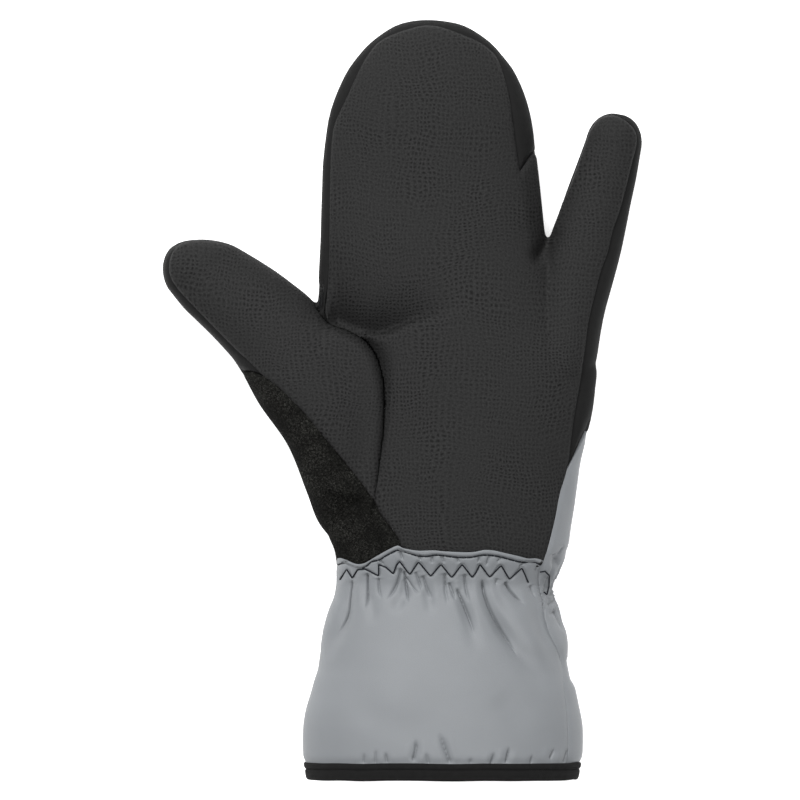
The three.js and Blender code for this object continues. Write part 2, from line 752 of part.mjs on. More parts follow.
const grip = { color: 0x383838, roughness: 0.75, metalness: 0 };
const softshell = { color: 0x2b2b2b, roughness: 0.8, metalness: 0 };
const fleece = { color: 0x242422, roughness: 1, metalness: 0 };
const silverCloth = { color: 0x9ca1a4, roughness: 0.6, metalness: 0 };
const knitTape = { color: 0x272626, roughness: 0.9, metalness: 0 };
const looks = {
  palm_panel: grip,
  thumb_palm: grip,
  cuff_front: silverCloth,
  thumb_fleece: fleece,
  cuff_back: silverCloth,
  back_panel: softshell,
  hem_binding: knitTape,
};

const mitt = new THREE.Group();
const solids = { ...cutPanels(), hem_binding: bindingSolid() };
for (const [name, solid] of Object.entries(solids)) {
  const mesh = new THREE.Mesh(geometryOf(solid), new THREE.MeshStandardMaterial(looks[name]));
  mesh.name = name;
  mitt.add(mesh);
}

// The frame's origin lies below the middle of the whole mitt, on the surface
const size = new THREE.Box3().setFromObject(mitt);
const middle = size.getCenter(new THREE.Vector3());
mitt.position.set(-middle.x, -middle.y, -size.min.z);

export default mitt;
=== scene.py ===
"""Looks for a padded winter mitt: grip palm, softshell back, fleece thumb and gathered cuff.

The mitt lies on its back on a pale floor, palm up, fingers towards +Y. Shapes are worked out in
millimetres from the middle of the wrist seam (across, along, up) and are moved into the frame,
in metres, when a piece is made.
"""

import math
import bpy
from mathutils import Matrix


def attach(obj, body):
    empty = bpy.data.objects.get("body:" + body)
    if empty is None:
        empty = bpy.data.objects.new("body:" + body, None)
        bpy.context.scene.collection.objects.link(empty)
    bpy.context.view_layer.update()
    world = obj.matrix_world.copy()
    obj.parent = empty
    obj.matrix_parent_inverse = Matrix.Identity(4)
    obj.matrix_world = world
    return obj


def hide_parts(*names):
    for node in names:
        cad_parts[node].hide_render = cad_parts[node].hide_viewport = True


bl_info = {
    "name": "Winter mitt with a separate little finger",
    "version": (1, 0, 0),
    "blender": (4, 5, 0),
    "location": "View3D > Sidebar > Mitt",
    "description": "Builds the sewn panels, stitching and bound hem of a padded winter mitt",
    "category": "Add Mesh",
}

import bpy
import numpy as np
from bpy.props import FloatProperty, PointerProperty, StringProperty

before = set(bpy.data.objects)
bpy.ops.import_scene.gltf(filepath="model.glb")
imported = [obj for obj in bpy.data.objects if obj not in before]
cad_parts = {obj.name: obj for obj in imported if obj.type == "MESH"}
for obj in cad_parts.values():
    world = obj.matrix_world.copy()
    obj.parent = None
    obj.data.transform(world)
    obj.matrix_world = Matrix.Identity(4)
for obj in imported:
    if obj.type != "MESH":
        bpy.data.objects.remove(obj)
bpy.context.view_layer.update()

MM = 0.001
WRIST_MIDDLE = (15.507, -57.006, 0.0)  # the middle of the wrist seam, in the frame, in mm
BODY = "root"
CLOTH_MAP = "cloth"  # name of each panel's map of its cloth, in mm

# ---------------------------------------------------------------- lengths of the mitt, in mm

HEM = -83.4  # open end of the cuff
BINDING_TOP = -77.1
CUFF_START = BINDING_TOP - 1.0  # the cuff's cloth starts under the binding
ELASTIC = -11.3  # line of the wrist elastic
CAP_START = 151.4  # where the broad compartment starts to round off
CAP_LENGTH = 46.4
TIP_HEIGHT = 9.0  # height of the tip's seam above the floor

# Main sleeve from the hem up: along, left edge, right edge, height of the top, clear of the floor
SLEEVE = np.array([
    (-88.0, -50.4, 48.9, 43.2, 0), (-83.4, -50.9, 49.5, 43.4, 0), (-79.0, -51.6, 50.4, 43.7, 0),
    (-74.0, -52.2, 51.0, 43.9, 0), (-64.5, -52.2, 51.1, 43.75, 0), (-59.5, -51.6, 50.4, 43.35, 0),
    (-55.7, -50.7, 49.6, 42.85, 0), (-51.2, -49.3, 48.7, 42.1, 0), (-46.8, -48.1, 47.6, 41.25, 0),
    (-42.4, -46.7, 46.3, 40.3, 0), (-37.9, -46.2, 45.6, 39.3, 0), (-33.5, -45.9, 45.7, 38.3, 0),
    (-29.0, -45.2, 45.0, 37.3, 0), (-24.6, -44.0, 43.7, 36.35, 0), (-20.2, -42.6, 42.4, 35.45, 0),
    (-15.7, -40.8, 40.6, 34.6, 0), (-11.3, -40.0, 40.0, 34.0, 0), (-6.8, -39.9, 42.2, 35.0, 0),
    (-2.4, -39.8, 44.3, 36.2, 0), (2.0, -40.5, 45.8, 36.9, 0), (6.5, -42.4, 46.6, 37.3, 0),
    (15.4, -45.0, 48.1, 37.6, 0), (24.2, -44.9, 49.1, 37.9, 0), (33.1, -44.4, 50.2, 38.0, 0),
    (42.0, -44.1, 52.4, 38.0, 0), (50.9, -44.3, 54.5, 38.0, 0), (59.8, -44.9, 55.6, 38.0, 0),
    (70.2, -45.7, 55.9, 37.6, 0), (86.4, -46.9, 48.0, 36.5, 0), (102.0, -46.3, 42.2, 35.3, 0),
    (117.5, -45.6, 37.5, 34.1, 0), (126.4, -45.4, 36.4, 33.3, 0), (135.3, -45.1, 35.5, 32.5, 0.2),
    (144.1, -44.8, 34.5, 31.9, 0.7), (151.4, -44.1, 33.5, 31.6, 1.0),
])
# Its round tip: angle from where it starts to round off, left edge, right edge
TIP = np.array([
    (0, -44.1, 33.5), (13, -42.5, 31.9), (25, -39.4, 29.3), (37.4, -35.2, 25.3),
    (44.8, -31.9, 21.9), (53.1, -28.1, 18.1), (63.7, -22.4, 12.2), (75, -16.4, 5.6),
    (82.5, -11.4, -0.5), (90, -6.2, -6.0),
])
# Thumb and little finger, root to tip: share of the length, how far the middle bows towards
# +X, half the width, height of the top, clear of the floor
THUMB = np.array([
    (0, 0, 7.0, 24.1, 5.6), (0.08, 4.0, 12.0, 31.4, 1.7), (0.165, 9.2, 15.0, 38.1, 0.8),
    (0.318, 16.1, 18.3, 40.9, 1.7), (0.463, 16.2, 19.1, 40.3, 2.8), (0.56, 16.4, 18.6, 38.6, 3.2),
    (0.615, 16.2, 18.3, 37.3, 3.4), (0.66, 15.2, 18.1, 36.2, 3.6), (0.712, 13.5, 17.6, 35.0, 3.8),
    (0.768, 11.4, 17.1, 33.8, 3.95), (0.826, 8.9, 16.3, 32.4, 4.1), (0.885, 6.6, 14.9, 31.1, 4.2),
])
LITTLE = np.array([
    (0, 0, 10.6, 29.9, 2.8), (0.1, -0.1, 13.1, 32.7, 0.7), (0.25, -1.0, 13.1, 31.3, 0.5),
    (0.32, -1.3, 13.2, 30.2, 0.6), (0.43, -1.2, 13.5, 28.5, 0.7), (0.522, -0.8, 13.3, 27.2, 0.95),
    (0.612, -0.35, 12.6, 26.1, 1.35), (0.7, -0.1, 12.0, 25.1, 2.0), (0.79, 0.35, 11.3, 24.0, 2.8),
    (0.885, 0.6, 10.4, 22.7, 3.5),
])

# Shape of a section: 1 is an ellipse, and less is boxier
SIDE_SHARE = 0.45  # height of the widest place
SEAM_SHARE = 0.38  # height of the side seams
UPPER_ROUND = 0.9
LOWER_ROUND = 0.78
FLATNESS = 1.12  # over 1 the underside is pressed flat on the floor
CAP_ROUND = 2.4

# ----------------------------------------------------- seams seen from above, in mm (across, along)

WRIST_EDGE = [
    (-60, -1.4), (-46, -1.6), (-40, -1.7), (-38.4, -1.4), (-36, -2.2), (-33.2, -3.3), (-31.4, -3.6),
    (-29.2, -3.1), (-25.3, -0.8), (-19.7, 2.3), (-17.1, 3.3), (-15.1, 2.4), (-9.9, 1.5),
    (-4.1, 1.6), (-0.7, 1.3), (4.4, 1.0), (9.9, 0.9), (13.2, 1.4), (14.6, 1.7), (17.9, 1.6),
    (22.3, 0.6), (26.7, -0.4), (31.1, -1.5), (34, -1.5), (36.9, -2.3),
]
CUFF_SIDE_SEAM = [
    (36.9, -2.3), (35.6, -5), (34.9, -8), (35.8, -13.3), (37.1, -18.4), (37.9, -24.2),
    (39.5, -29.3), (42, -34.5), (43.6, -38.9), (44.8, -48), (45.9, -60), (46.3, -72), (46, -90),
]
PALM_RIGHT = [
    (36.6, -4), (38.6, 2), (42.6, 17.6), (45.9, 30.5), (48.4, 50.1), (50.9, 64.2), (52.5, 75.3),
    (54, 86.4), (56.8, 98.3), (58.7, 105.4), (61, 111.6), (62.9, 119.6), (65.3, 126.2),
    (67.7, 134.7), (69.8, 143.2), (71.3, 148.9), (72, 152.8), (71.4, 156.8), (68.6, 160),
    (65, 162.4), (61, 163.2), (57, 162), (53.6, 157.8), (51, 151.2), (46.4, 138), (43.2, 131.5),
]
BETWEEN_FINGERS = [(43.2, 131.5), (40.5, 134), (38.5, 141), (36.5, 151)]
FINGERS_SIDE_SEAM = [(36.5, 151), (34, 148.6), (28.5, 141.2)]
FINGERS_SEAM = [
    (28.5, 141.2), (28.1, 143.4), (26.2, 156.9), (24.7, 168), (22.6, 177.2), (20.2, 183.8),
    (17.4, 187.2), (12.1, 190.6), (4.8, 193.6), (-1.4, 195.8), (-6, 196.4), (-10.4, 195.8),
    (-18.5, 193.2), (-24.6, 190), (-28.6, 185.2), (-32, 179), (-37, 168), (-41, 159.4),
    (-42.2, 152.6), (-42.8, 137.5), (-43.1, 108.6), (-43.2, 99), (-43.2, 92), (-42.9, 87.2),
]
THUMB_SEAM = [
    (-46.6, 99), (-46.9, 94), (-46.7, 91), (-45.4, 88.2), (-43.1, 85.6), (-35.3, 82.7),
    (-29.4, 79.1), (-25.3, 73.8), (-23.2, 67.9), (-22, 59.1), (-22.3, 47.3), (-23.5, 36.7),
    (-24.7, 26.6), (-25.9, 20.2),
]
THUMB_ROOT_SEAM = [
    (-25.9, 20.2), (-23.5, 14.8), (-20, 10.2), (-17.2, 6.2), (-16.2, 3.4), (-16, -0.5),
]
THUMB_LOWER_SEAM = [
    (-25.9, 20.2), (-35.3, 32.5), (-44.8, 43.7), (-53, 53.2), (-57.7, 57.9), (-61.9, 62),
    (-67.1, 65.7), (-73.6, 71.9), (-76.8, 74.6), (-84.8, 82.7), (-93.4, 91.6), (-99.2, 98),
    (-101.9, 102.7), (-102.3, 108), (-100.4, 113), (-96.5, 116.4), (-88.4, 118), (-80.1, 117),
    (-73, 113.5), (-63.6, 107.5), (-55.3, 102.5), (-46.6, 99),
]
FLEECE_TOP = [(-67.1, 65.7), (-70.8, 66.6), (-74.5, 66.9), (-86, 66)]
FLEECE_BACK = [
    (-86, 66), (-66, 62), (-48, 58), (-36, 56), (-29.4, 50.6), (-26.5, 28.8), (-17, 3.4),
    (-16, -0.5),
]
FLEECE_SIDE = [(-86, 66), (-80, 10), (-60, -4.2)]
PALM_FOOT = [(35, -5), (26.7, -3.6), (17.9, -1.0), (4.4, -1.6), (-9.9, -1.2), (-16, -0.5)]
YOKE = [
    (60, 41), (53, 43.9), (45, 47), (37.2, 50.6), (22.5, 58.6), (4.9, 62.1), (-12.7, 58.6),
    (-29.4, 48.9), (-38.2, 41.4), (-60, 30),
]
STRIP_TOP = [(36, 21), (45.9, 30.9), (52.8, 43.9), (58, 54)]

# Folds of the cuff below the elastic: path, depth and half width in mm
FOLDS = [
    ([(-34.1, -9.1), (-35.4, -15.8), (-36.3, -20.5), (-38.1, -25.1), (-41.8, -31.2)], 1.4, 0.6),
    ([(-28.6, -6.6), (-28.6, -16.8), (-29.4, -20.8)], 1.5, 0.55),
    ([(-24.3, -8.5), (-24.2, -12.8), (-23.1, -16.8)], 0.8, 0.7),
    ([(-16.0, -4.8), (-17.3, -10.3), (-19.7, -14.6), (-21.6, -17.4)], 1.1, 1.1),
    ([(-15.0, -6.0), (-14.4, -10.3), (-13.3, -18.3)], 1.5, 0.55),
    ([(-14.5, -8.5), (-11.1, -12.8), (-8.6, -15.2)], 0.7, 0.9),
    ([(-10.8, -6.3), (-9.0, -10.9), (-8.2, -13.6)], 0.8, 0.6),
    ([(-8.1, -7.6), (-6.2, -12.8), (-4.1, -16.8)], 1.0, 0.6),
    ([(0.2, -6.6), (0.5, -12.8), (1.4, -18.9)], 1.0, 0.7),
    ([(1.7, -10.3), (3.0, -13.8), (4.2, -17.1)], 1.1, 0.5),
    ([(4.4, -12.2), (7.3, -18.4), (9.9, -25.0), (11.3, -30.1)], 1.6, 0.6),
    ([(7.5, -7.0), (7.9, -11.8), (9.5, -18.4)], 0.9, 0.7),
    ([(13.9, -8.9), (15.0, -14.7), (17.2, -20.2), (20.8, -26.4), (24.5, -32.3), (28.2, -38.9)],
     1.9, 0.6),
    ([(19.6, -8.8), (18.9, -11.6)], 0.6, 0.5),
    ([(22.3, -10.0), (24.5, -13.3), (28.2, -17.3), (30.3, -19.1)], 1.4, 0.6),
    ([(31.8, -11.4), (34.0, -16.2)], 0.7, 0.7), ([(-21.1, -77.0), (-21.8, -72.6)], 0.8, 0.45),
    ([(-11.7, -76), (-10.5, -71.2), (-10.9, -67.6)], 1.3, 0.55),
    ([(-5.8, -77.2), (-6.7, -72.8)], 0.8, 0.45),
    ([(2.3, -77.2), (-0.2, -70.0), (-2.2, -65.4)], 1.4, 0.5),
    ([(17.2, -77.4), (18.6, -72.6)], 0.9, 0.45), ([(22.8, -76.6), (24.1, -70.6)], 1.0, 0.5),
    ([(39.1, -75.6), (40.8, -71.4)], 0.9, 0.5), ([(44.6, -76.6), (46.0, -71.4)], 0.8, 0.5),
    ([(-25.6, -77.2), (-25.2, -71.6)], 0.6, 0.4), ([(-30.0, -77), (-29.5, -73.0)], 0.6, 0.5),
    ([(9.6, -77.4), (9.9, -74.6)], 0.5, 0.4), ([(32.0, -77.2), (32.6, -73.6)], 0.6, 0.45),
]
# Broad soft valleys of the cuff, and swells where the depth is under zero
SOFT_VALLEYS = [
    ([(14.4, -14), (21.1, -27.2), (28.5, -36.8), (33.3, -43.1), (40.7, -52)], 1.7, 3.8),
    ([(-33.7, -12), (-37, -24.6), (-41.8, -32), (-46.3, -42)], 1.4, 3.4),
    ([(-14, -9), (-16, -16), (-19.5, -22.5)], 1.1, 2.4),
    ([(5.2, -14), (10, -28.3), (13, -38)], 0.9, 2.8),
    ([(21.1, -15), (32.2, -32), (39.6, -44)], -1.0, 4.6),
    ([(32.2, -14), (37.7, -32), (41.8, -43)], 1.0, 2.8), ([(-26.3, -11), (-26.8, -27)], 0.7, 2.2),
    ([(-6.7, -11), (-4.6, -23)], 0.7, 2.0), ([(-40, -52), (-20, -62), (4, -66)], 0.5, 6.0),
    ([(18, -50), (34, -66)], 0.5, 5.0),
]
# Short puckers between the topstitch and the zigzag
PUCKERS = [
    ([(-16.6, 1.2), (-15.0, -2.4)], 0.5, 0.35), ([(-24.0, -2.2), (-21.8, -4.2)], 0.4, 0.5),
    ([(-4.6, -0.6), (-4.4, -3.6)], 0.45, 0.4), ([(-0.9, -0.6), (0.2, -3.6)], 0.45, 0.4),
    ([(-9.6, -0.4), (-8.4, -2.6)], 0.4, 0.4), ([(4.8, -1.2), (5.6, -3.4)], 0.4, 0.4),
    ([(13.0, -0.6), (12.6, -3.4)], 0.45, 0.4), ([(16.6, -0.6), (15.4, -4.6)], 0.4, 0.35),
    ([(21.0, -1.2), (19.4, -3.2)], 0.4, 0.4), ([(29.8, -3.0), (27.6, -4.9)], 0.6, 0.4),
    ([(35.0, -4.4), (33.6, -6.6)], 0.6, 0.5),
]
# Lower edge of the hollow: over the thumb's crotch and along the crease of the palm
HOLLOW_EDGE = [
    (-50, 90), (-43.3, 85.6), (-36, 82.8), (-29.4, 80.6), (-20.4, 83.1), (-10.7, 87.2),
    (-1.1, 89.4), (10, 91),
]
# Bottom of the crease round the thumb's cushion: share of the seam, height, and width of the dip
# beside it
THUMB_CREASE = np.array([
    (0, 29, 1.5), (0.1, 25.5, 1.5), (0.16, 21.5, 1.5), (0.24, 20, 1.6), (0.3, 23.5, 2.0),
    (0.38, 27.2, 2.6), (0.46, 29.0, 2.4), (0.54, 31.2, 1.8), (0.64, 32.9, 1.3), (0.78, 34.0, 1.0),
    (0.9, 34.9, 0.9), (1, 36.0, 0.9),
])
# A groove that runs down to the left from the little finger's crotch, and the line where the
# broad compartment starts to turn down at its right side: along, across
LITTLE_GROOVE = [(39.6, 118), (37.8, 114.6), (35.8, 111.2), (32.8, 106.4)]
TURN_DOWN = ([104, 112, 128, 141, 166], [32.0, 31.0, 29.4, 27.4, 24.0])
# Soft dents of the strip beside the palm: middle, depth, half width and half length in mm
STRIP_DENTS = [
    ((43.6, 23.5), 1.0, 4.0, 7.0), ((41.6, -2.8), 1.5, 1.5, 2.2), ((46.5, 0.5), 0.6, 2.0, 2.5),
    ((47.5, 12), 0.5, 3.5, 9.0),
]
# Puckers of the strip around the end of the elastic
STRIP_FOLDS = [
    ([(40.4, 0.4), (42.6, -4.6)], 0.7, 0.8), ([(44.6, 3.0), (41.6, -1.8)], 0.7, 0.6),
    ([(37.6, -9.6), (40.8, -8.6)], 0.5, 0.4), ([(38.2, -13.2), (41.6, -10.8)], 0.5, 0.4),
    ([(38.2, -16.0), (42.0, -13.0)], 0.5, 0.4), ([(38.6, -19.0), (42.6, -15.4)], 0.6, 0.4),
    ([(39.0, -22.2), (43.0, -19.6)], 0.5, 0.4), ([(41.0, -20.5), (44.6, -29.0)], 0.8, 0.9),
    ([(46.4, -38), (48.4, -50)], 0.6, 1.4),
]
TOPSTITCH = [
    (-30.2, -5.0), (-28.6, -4.2), (-26.8, -2.7), (-24.0, -2.0), (-21.6, -0.5), (-17.1, 1.6),
    (-14.2, 0.9), (-10.2, -0.4), (-6.8, -0.7), (-3.2, -0.2), (0.5, -0.5), (4.4, -1.0), (9.9, -1.0),
    (12.8, -0.4), (15.0, -0.2), (17.9, -0.4), (20.8, -0.9), (24.5, -1.9), (28.9, -2.9),
    (32.5, -2.7), (35.8, -3.9),
]
TOPSTITCH_LEFT = [(-39.4, -4.0), (-38, -3.4), (-36.2, -2.7)]
ZIGZAG = [
    (-24.2, -3.7), (-21.6, -4.7), (-18.8, -7.1), (-17.6, -3.9), (-16.4, -2.6), (-12.7, -7.4),
    (-9.5, -2.7), (-5.0, -8.0), (-1.2, -3.6), (2.8, -8.5), (6.6, -3.6), (10.3, -8.4), (11.7, -6.7),
    (13.2, -3.6), (16.8, -8.4), (21.0, -4.0), (24.1, -9.2), (28.7, -5.0), (31.1, -10.4),
]
ZIGZAG_LEFT = [
    (-38.6, -9.4), (-36.0, -5.6), (-34.0, -8.8), (-32.0, -5.7), (-29.2, -5.4), (-24.2, -7.9),
    (-24.2, -3.7),
]
THREAD_END = [(35.4, -6.6), (37.3, -6.3), (38.9, -7.9), (38.8, -11.8), (38.0, -14.9), (36.9, -14.0)]


# ------------------------------------------------------------------------------ curves and sections


def catmull(rows, at):
    """Smooth curve through the rows of a table, at places along it. On each span it is the cubic
    whose slope at a row is that of the straight line between the row's two neighbours."""
    places, values = rows[:, 0], rows[:, 1:]
    i = np.clip(np.searchsorted(places, at, side="right") - 1, 0, len(places) - 2)
    before, after = np.maximum(i - 1, 0), np.minimum(i + 2, len(places) - 1)
    span = (places[i + 1] - places[i])[..., None]
    u = np.clip((at - places[i])[..., None] / span, 0, 1)
    slope_a = (values[i + 1] - values[before]) / (places[i + 1] - places[before])[..., None] * span
    slope_b = (values[after] - values[i]) / (places[after] - places[i])[..., None] * span
    cubic = values[i] * (2 * u**3 - 3 * u**2 + 1) + values[i + 1] * (3 * u**2 - 2 * u**3)
    return cubic + slope_a * (u**3 - 2 * u**2 + u) + slope_b * (u**3 - u**2)


def walked_along(points):
    """Distance walked along a path up to each of its points."""
    return np.concatenate([[0], np.cumsum(np.linalg.norm(np.diff(points, axis=0), axis=1))])


def path_through(points, step=0.9):
    """Smooth open path through points, with steps of one length. The points are rows of a table
    whose place is the distance walked so far."""
    points = np.array(points, float)
    walked = walked_along(points)
    count = max(2, int(walked[-1] / step) + 1)
    return catmull(np.column_stack([walked, points]), np.linspace(0, walked[-1], count))


def outline(*runs):
    """Closed outline made of smooth runs, with a corner wherever one run meets the next."""
    return np.concatenate([path_through(run) for run in runs])


def smoothstep(low, high, value):
    u = np.clip((value - low) / (high - low), 0, 1)
    return u * u * (3 - 2 * u)


def falling(low, high, value):
    return 1 - smoothstep(low, high, value)


def bell(value, width, power=2):
    """1 where the value is nought, falling off to both sides over about the width."""
    return np.exp(-((value / width) ** power))


def oval(x, y, middle, half_width, half_length):
    """1 in the middle of an oval patch, falling off all round it."""
    aside, along = (x - middle[0]) / half_width, (y - middle[1]) / half_length
    return np.exp(-(aside**2) - along**2)


def blur_walk(seed, count, knots):
    """Gentle irregularity along a line: seeded heights at evenly spaced knots, joined smoothly."""
    heights = np.random.default_rng(seed).uniform(-1, 1, knots)
    places = np.linspace(0, knots - 1, count)
    return catmull(np.column_stack([np.arange(knots), heights]), places)[:, 0]


def section(angle, half, top, base):
    """One rounded section of a sleeve. The distance across is cos(angle) times half the width,
    and the height is sin(angle) times the way from the widest place to the top or the floor,
    both with the cosine and sine raised to a power under one, which makes a section boxier."""
    c, s = np.cos(angle), np.sin(angle)
    side = base + (top - base) * SIDE_SHARE
    across = np.sign(c) * np.abs(c) ** np.where(s >= 0, UPPER_ROUND, LOWER_ROUND) * half
    up = (top - side) * np.abs(s) ** UPPER_ROUND
    down = (side - base) * FLATNESS * np.abs(s) ** LOWER_ROUND
    return across, np.maximum(side + np.where(s >= 0, up, -down), base)


def sleeve_shape(y):
    """Left and right edge, top and base of the main sleeve at places along it. Over the round
    tip the top and base close in on the tip's height as a superellipse does."""
    u = np.clip((y - CAP_START) / CAP_LENGTH, 0, 1)
    rows = catmull(SLEEVE, np.minimum(y, CAP_START))
    rounded = catmull(TIP, np.degrees(np.arcsin(u)))
    edges = np.where((y > CAP_START)[..., None], rounded, rows[..., :2])
    keep = np.maximum(0, 1 - u**CAP_ROUND) ** (1 / CAP_ROUND)
    top, base = (TIP_HEIGHT + (rows[..., k] - TIP_HEIGHT) * keep for k in (2, 3))
    return edges[..., 0], edges[..., 1], top, np.maximum(base, 0)


class Limb:
    """A thumb or finger: a tube along a bowed middle line with a round tip."""

    cap_start = 0.885

    def __init__(self, rows, root, angle, length, tip_height, tip_aside, roundness):
        self.rows, self.root, self.length = rows, np.array(root, float), length
        self.tip_height, self.tip_aside, self.roundness = tip_height, tip_aside, roundness
        sine, cosine = math.sin(math.radians(angle)), math.cos(math.radians(angle))
        self.along, self.right = np.array([sine, cosine]), np.array([cosine, -sine])

    def shape(self, t):
        """Bow, half width, top and base at shares of the length. Past the start of the cap the
        half width and the heights close in as superellipses do."""
        u = np.clip((t - self.cap_start) / (1 - self.cap_start), 0, 1)
        rows = catmull(self.rows, np.minimum(t, self.cap_start))
        bow, half, top, base = np.moveaxis(rows, -1, 0)
        keep = np.maximum(0, 1 - u**CAP_ROUND) ** (1 / CAP_ROUND)
        bow = bow + (self.tip_aside - bow) * u
        half = half * np.maximum(0, 1 - u ** self.roundness[0]) ** self.roundness[1]
        top, base = (self.tip_height + (edge - self.tip_height) * keep for edge in (top, base))
        return bow, half, top, base

    def rings(self, t, angle):
        """Rings of points: each is a section square to the limb, moved aside by its bow."""
        bow, half, top, base = self.shape(t)
        middle = self.root + t[:, None] * self.length * self.along + bow[:, None] * self.right
        across, height = section(angle[None], half[:, None], top[:, None], base[:, None])
        flat = middle[:, None] + across[..., None] * self.right
        return np.concatenate([flat, height[..., None]], 2)

    def local(self, xy):
        """Share of the length, distance across the middle line, and shape, beside each point."""
        offset = xy - self.root
        t = np.clip(offset @ self.along / self.length, 0, 1)
        bow, half, top, base = self.shape(t)
        return t, offset @ self.right - bow, np.maximum(half, 1.0), top, base


thumb = Limb(THUMB, (-34.3, 8.05), -32.6, 125, 17, 2.0, (1.5, 0.58))
little = Limb(LITTLE, (40.2, 60.95), 13.6, 105, 13, 0.5, (2.2, 0.45))


def sleeve_rings(y, angle):
    """Rings of points across the main sleeve, one for each place along it."""
    left, right, top, base = sleeve_shape(y)
    across, height = section(angle[None], (right - left)[:, None] / 2, top[:, None], base[:, None])
    x = (right + left)[:, None] / 2 + across
    return np.stack([x, np.broadcast_to(y[:, None], x.shape), height], 2)


# ------------------------------------------------------------------------------------ mesh helpers


def lattice(rows, columns, wrap):
    """Four-sided faces over a grid of points, closed round in the column direction if wrapped."""
    r, c = np.meshgrid(np.arange(rows - 1), np.arange(columns - (not wrap)), indexing="ij")
    after = (c + 1) % columns
    low, high = r * columns, (r + 1) * columns
    return np.stack([low + c, low + after, high + after, high + c], -1).reshape(-1, 4)


def tube(rings):
    """Closed skin over rings of points: the grid between them, and a fan at each end."""
    rows, columns = rings.shape[:2]
    points = rings.reshape(-1, 3)
    first, last = rings[0].mean(0), rings[-1].mean(0)
    around = np.arange(columns)
    after = (around + 1) % columns
    low = np.stack([np.full(columns, rows * columns), after, around], 1)
    end = (rows - 1) * columns
    high = np.stack([np.full(columns, rows * columns + 1), end + around, end + after], 1)
    parts = (lattice(rows, columns, True), low, high)
    faces = [tuple(face) for part in parts for face in part.tolist()]
    return np.concatenate([points, [first, last]]), faces


def triangles_of(quads):
    return np.concatenate([quads[:, [0, 1, 2]], quads[:, [0, 2, 3]]])


def vertex_normals(points, triangles):
    """Normal at each point: the sum of its triangles' cross products, made one long."""
    a, b, c = (points[triangles[:, k]] for k in range(3))
    face = np.cross(b - a, c - a)
    total = np.stack([
        np.bincount(triangles.ravel(), np.repeat(face[:, k], 3), len(points)) for k in range(3)
    ], 1)
    return total / np.maximum(np.linalg.norm(total, axis=1, keepdims=True), 1e-12)


def neighbour_mean(values, edges, count):
    """Mean of the values at the points that each point shares an edge with."""
    both = np.concatenate([edges, edges[:, ::-1]])
    shares = np.maximum(np.bincount(both[:, 0], minlength=count), 1)
    columns = values.reshape(count, -1).T
    sums = np.stack([np.bincount(both[:, 0], column[both[:, 1]], count) for column in columns], 1)
    return (sums / shares[:, None]).reshape(values.shape)


def edges_of(triangles):
    pairs = np.concatenate([triangles[:, [a, b]] for a, b in ((0, 1), (1, 2), (2, 0))])
    return np.unique(np.sort(pairs, 1), axis=0)


def relaxed(points, edges, rounds, give=0.5, back=-0.52):
    """Surface with its small bumps taken out: each point moves part of the way to the mean of
    its neighbours and then a little more than that back, which keeps the size."""
    for _ in range(rounds):
        for share in (give, back):
            points = points + share * (neighbour_mean(points, edges, len(points)) - points)
    return points


def sliced(data, triangles, field):
    """The part of a surface where a field is above zero. data has a row of numbers for each
    point, its place first. A triangle that the zero line crosses is cut along that line, and
    every number of a new point is in proportion between the edge's two ends."""
    inside = field > 0
    count = inside[triangles].sum(1)

    def odd_first(rows, odd):
        k = odd.argmax(1)
        return np.stack([rows[np.arange(len(rows)), (k + i) % 3] for i in range(3)], 1)

    one, two = triangles[count == 1], triangles[count == 2]
    one, two = odd_first(one, inside[one]), odd_first(two, ~inside[two])
    ends = np.concatenate([part[:, [0, k]] for part in (one, two) for k in (1, 2)])
    cuts, where = np.unique(np.sort(ends, 1), axis=0, return_inverse=True)
    a, b = cuts.T
    share = (field[a] / (field[a] - field[b]))[:, None]
    where = where.ravel() + len(data)
    p, q = np.split(where[: 2 * len(one)], 2)
    r, s = np.split(where[2 * len(one):], 2)
    kept = np.concatenate([
        triangles[count == 3],
        np.stack([one[:, 0], p, q], 1),
        np.stack([r, two[:, 1], two[:, 2]], 1),
        np.stack([r, two[:, 2], s], 1),
    ])
    data = np.concatenate([data, data[a] + share * (data[b] - data[a])])
    used, kept = np.unique(kept, return_inverse=True)
    return data[used], kept.reshape(-1, 3)


TINY = 1e-12  # keeps a division away from nought
FAR = 99.0  # a distance in mm that stands for far away


def signed_distance(xy, loop, chunk=8000):
    """Distance from points to a closed outline, above zero inside it. The distance is that to
    the nearest of its straight pieces, and the inside is where a line to one side crosses the
    outline an odd number of times."""
    a, b = loop, np.roll(loop, -1, axis=0)
    way = b - a
    length = np.maximum((way**2).sum(1), TINY)
    out = np.empty(len(xy))
    for start in range(0, len(xy), chunk):
        p = xy[start:start + chunk, None]
        u = np.clip(((p - a) * way).sum(2) / length, 0, 1)[..., None]
        nearest = np.sqrt((((p - a) - u * way) ** 2).sum(2).min(1))
        straddles = (a[:, 1] > p[..., 1]) != (b[:, 1] > p[..., 1])
        rise = np.where(np.abs(way[:, 1]) < TINY, TINY, way[:, 1])
        crosses = straddles & (p[..., 0] < a[:, 0] + (p[..., 1] - a[:, 1]) / rise * way[:, 0])
        out[start:start + chunk] = np.where(crosses.sum(1) % 2 == 1, nearest, -nearest)
    return out


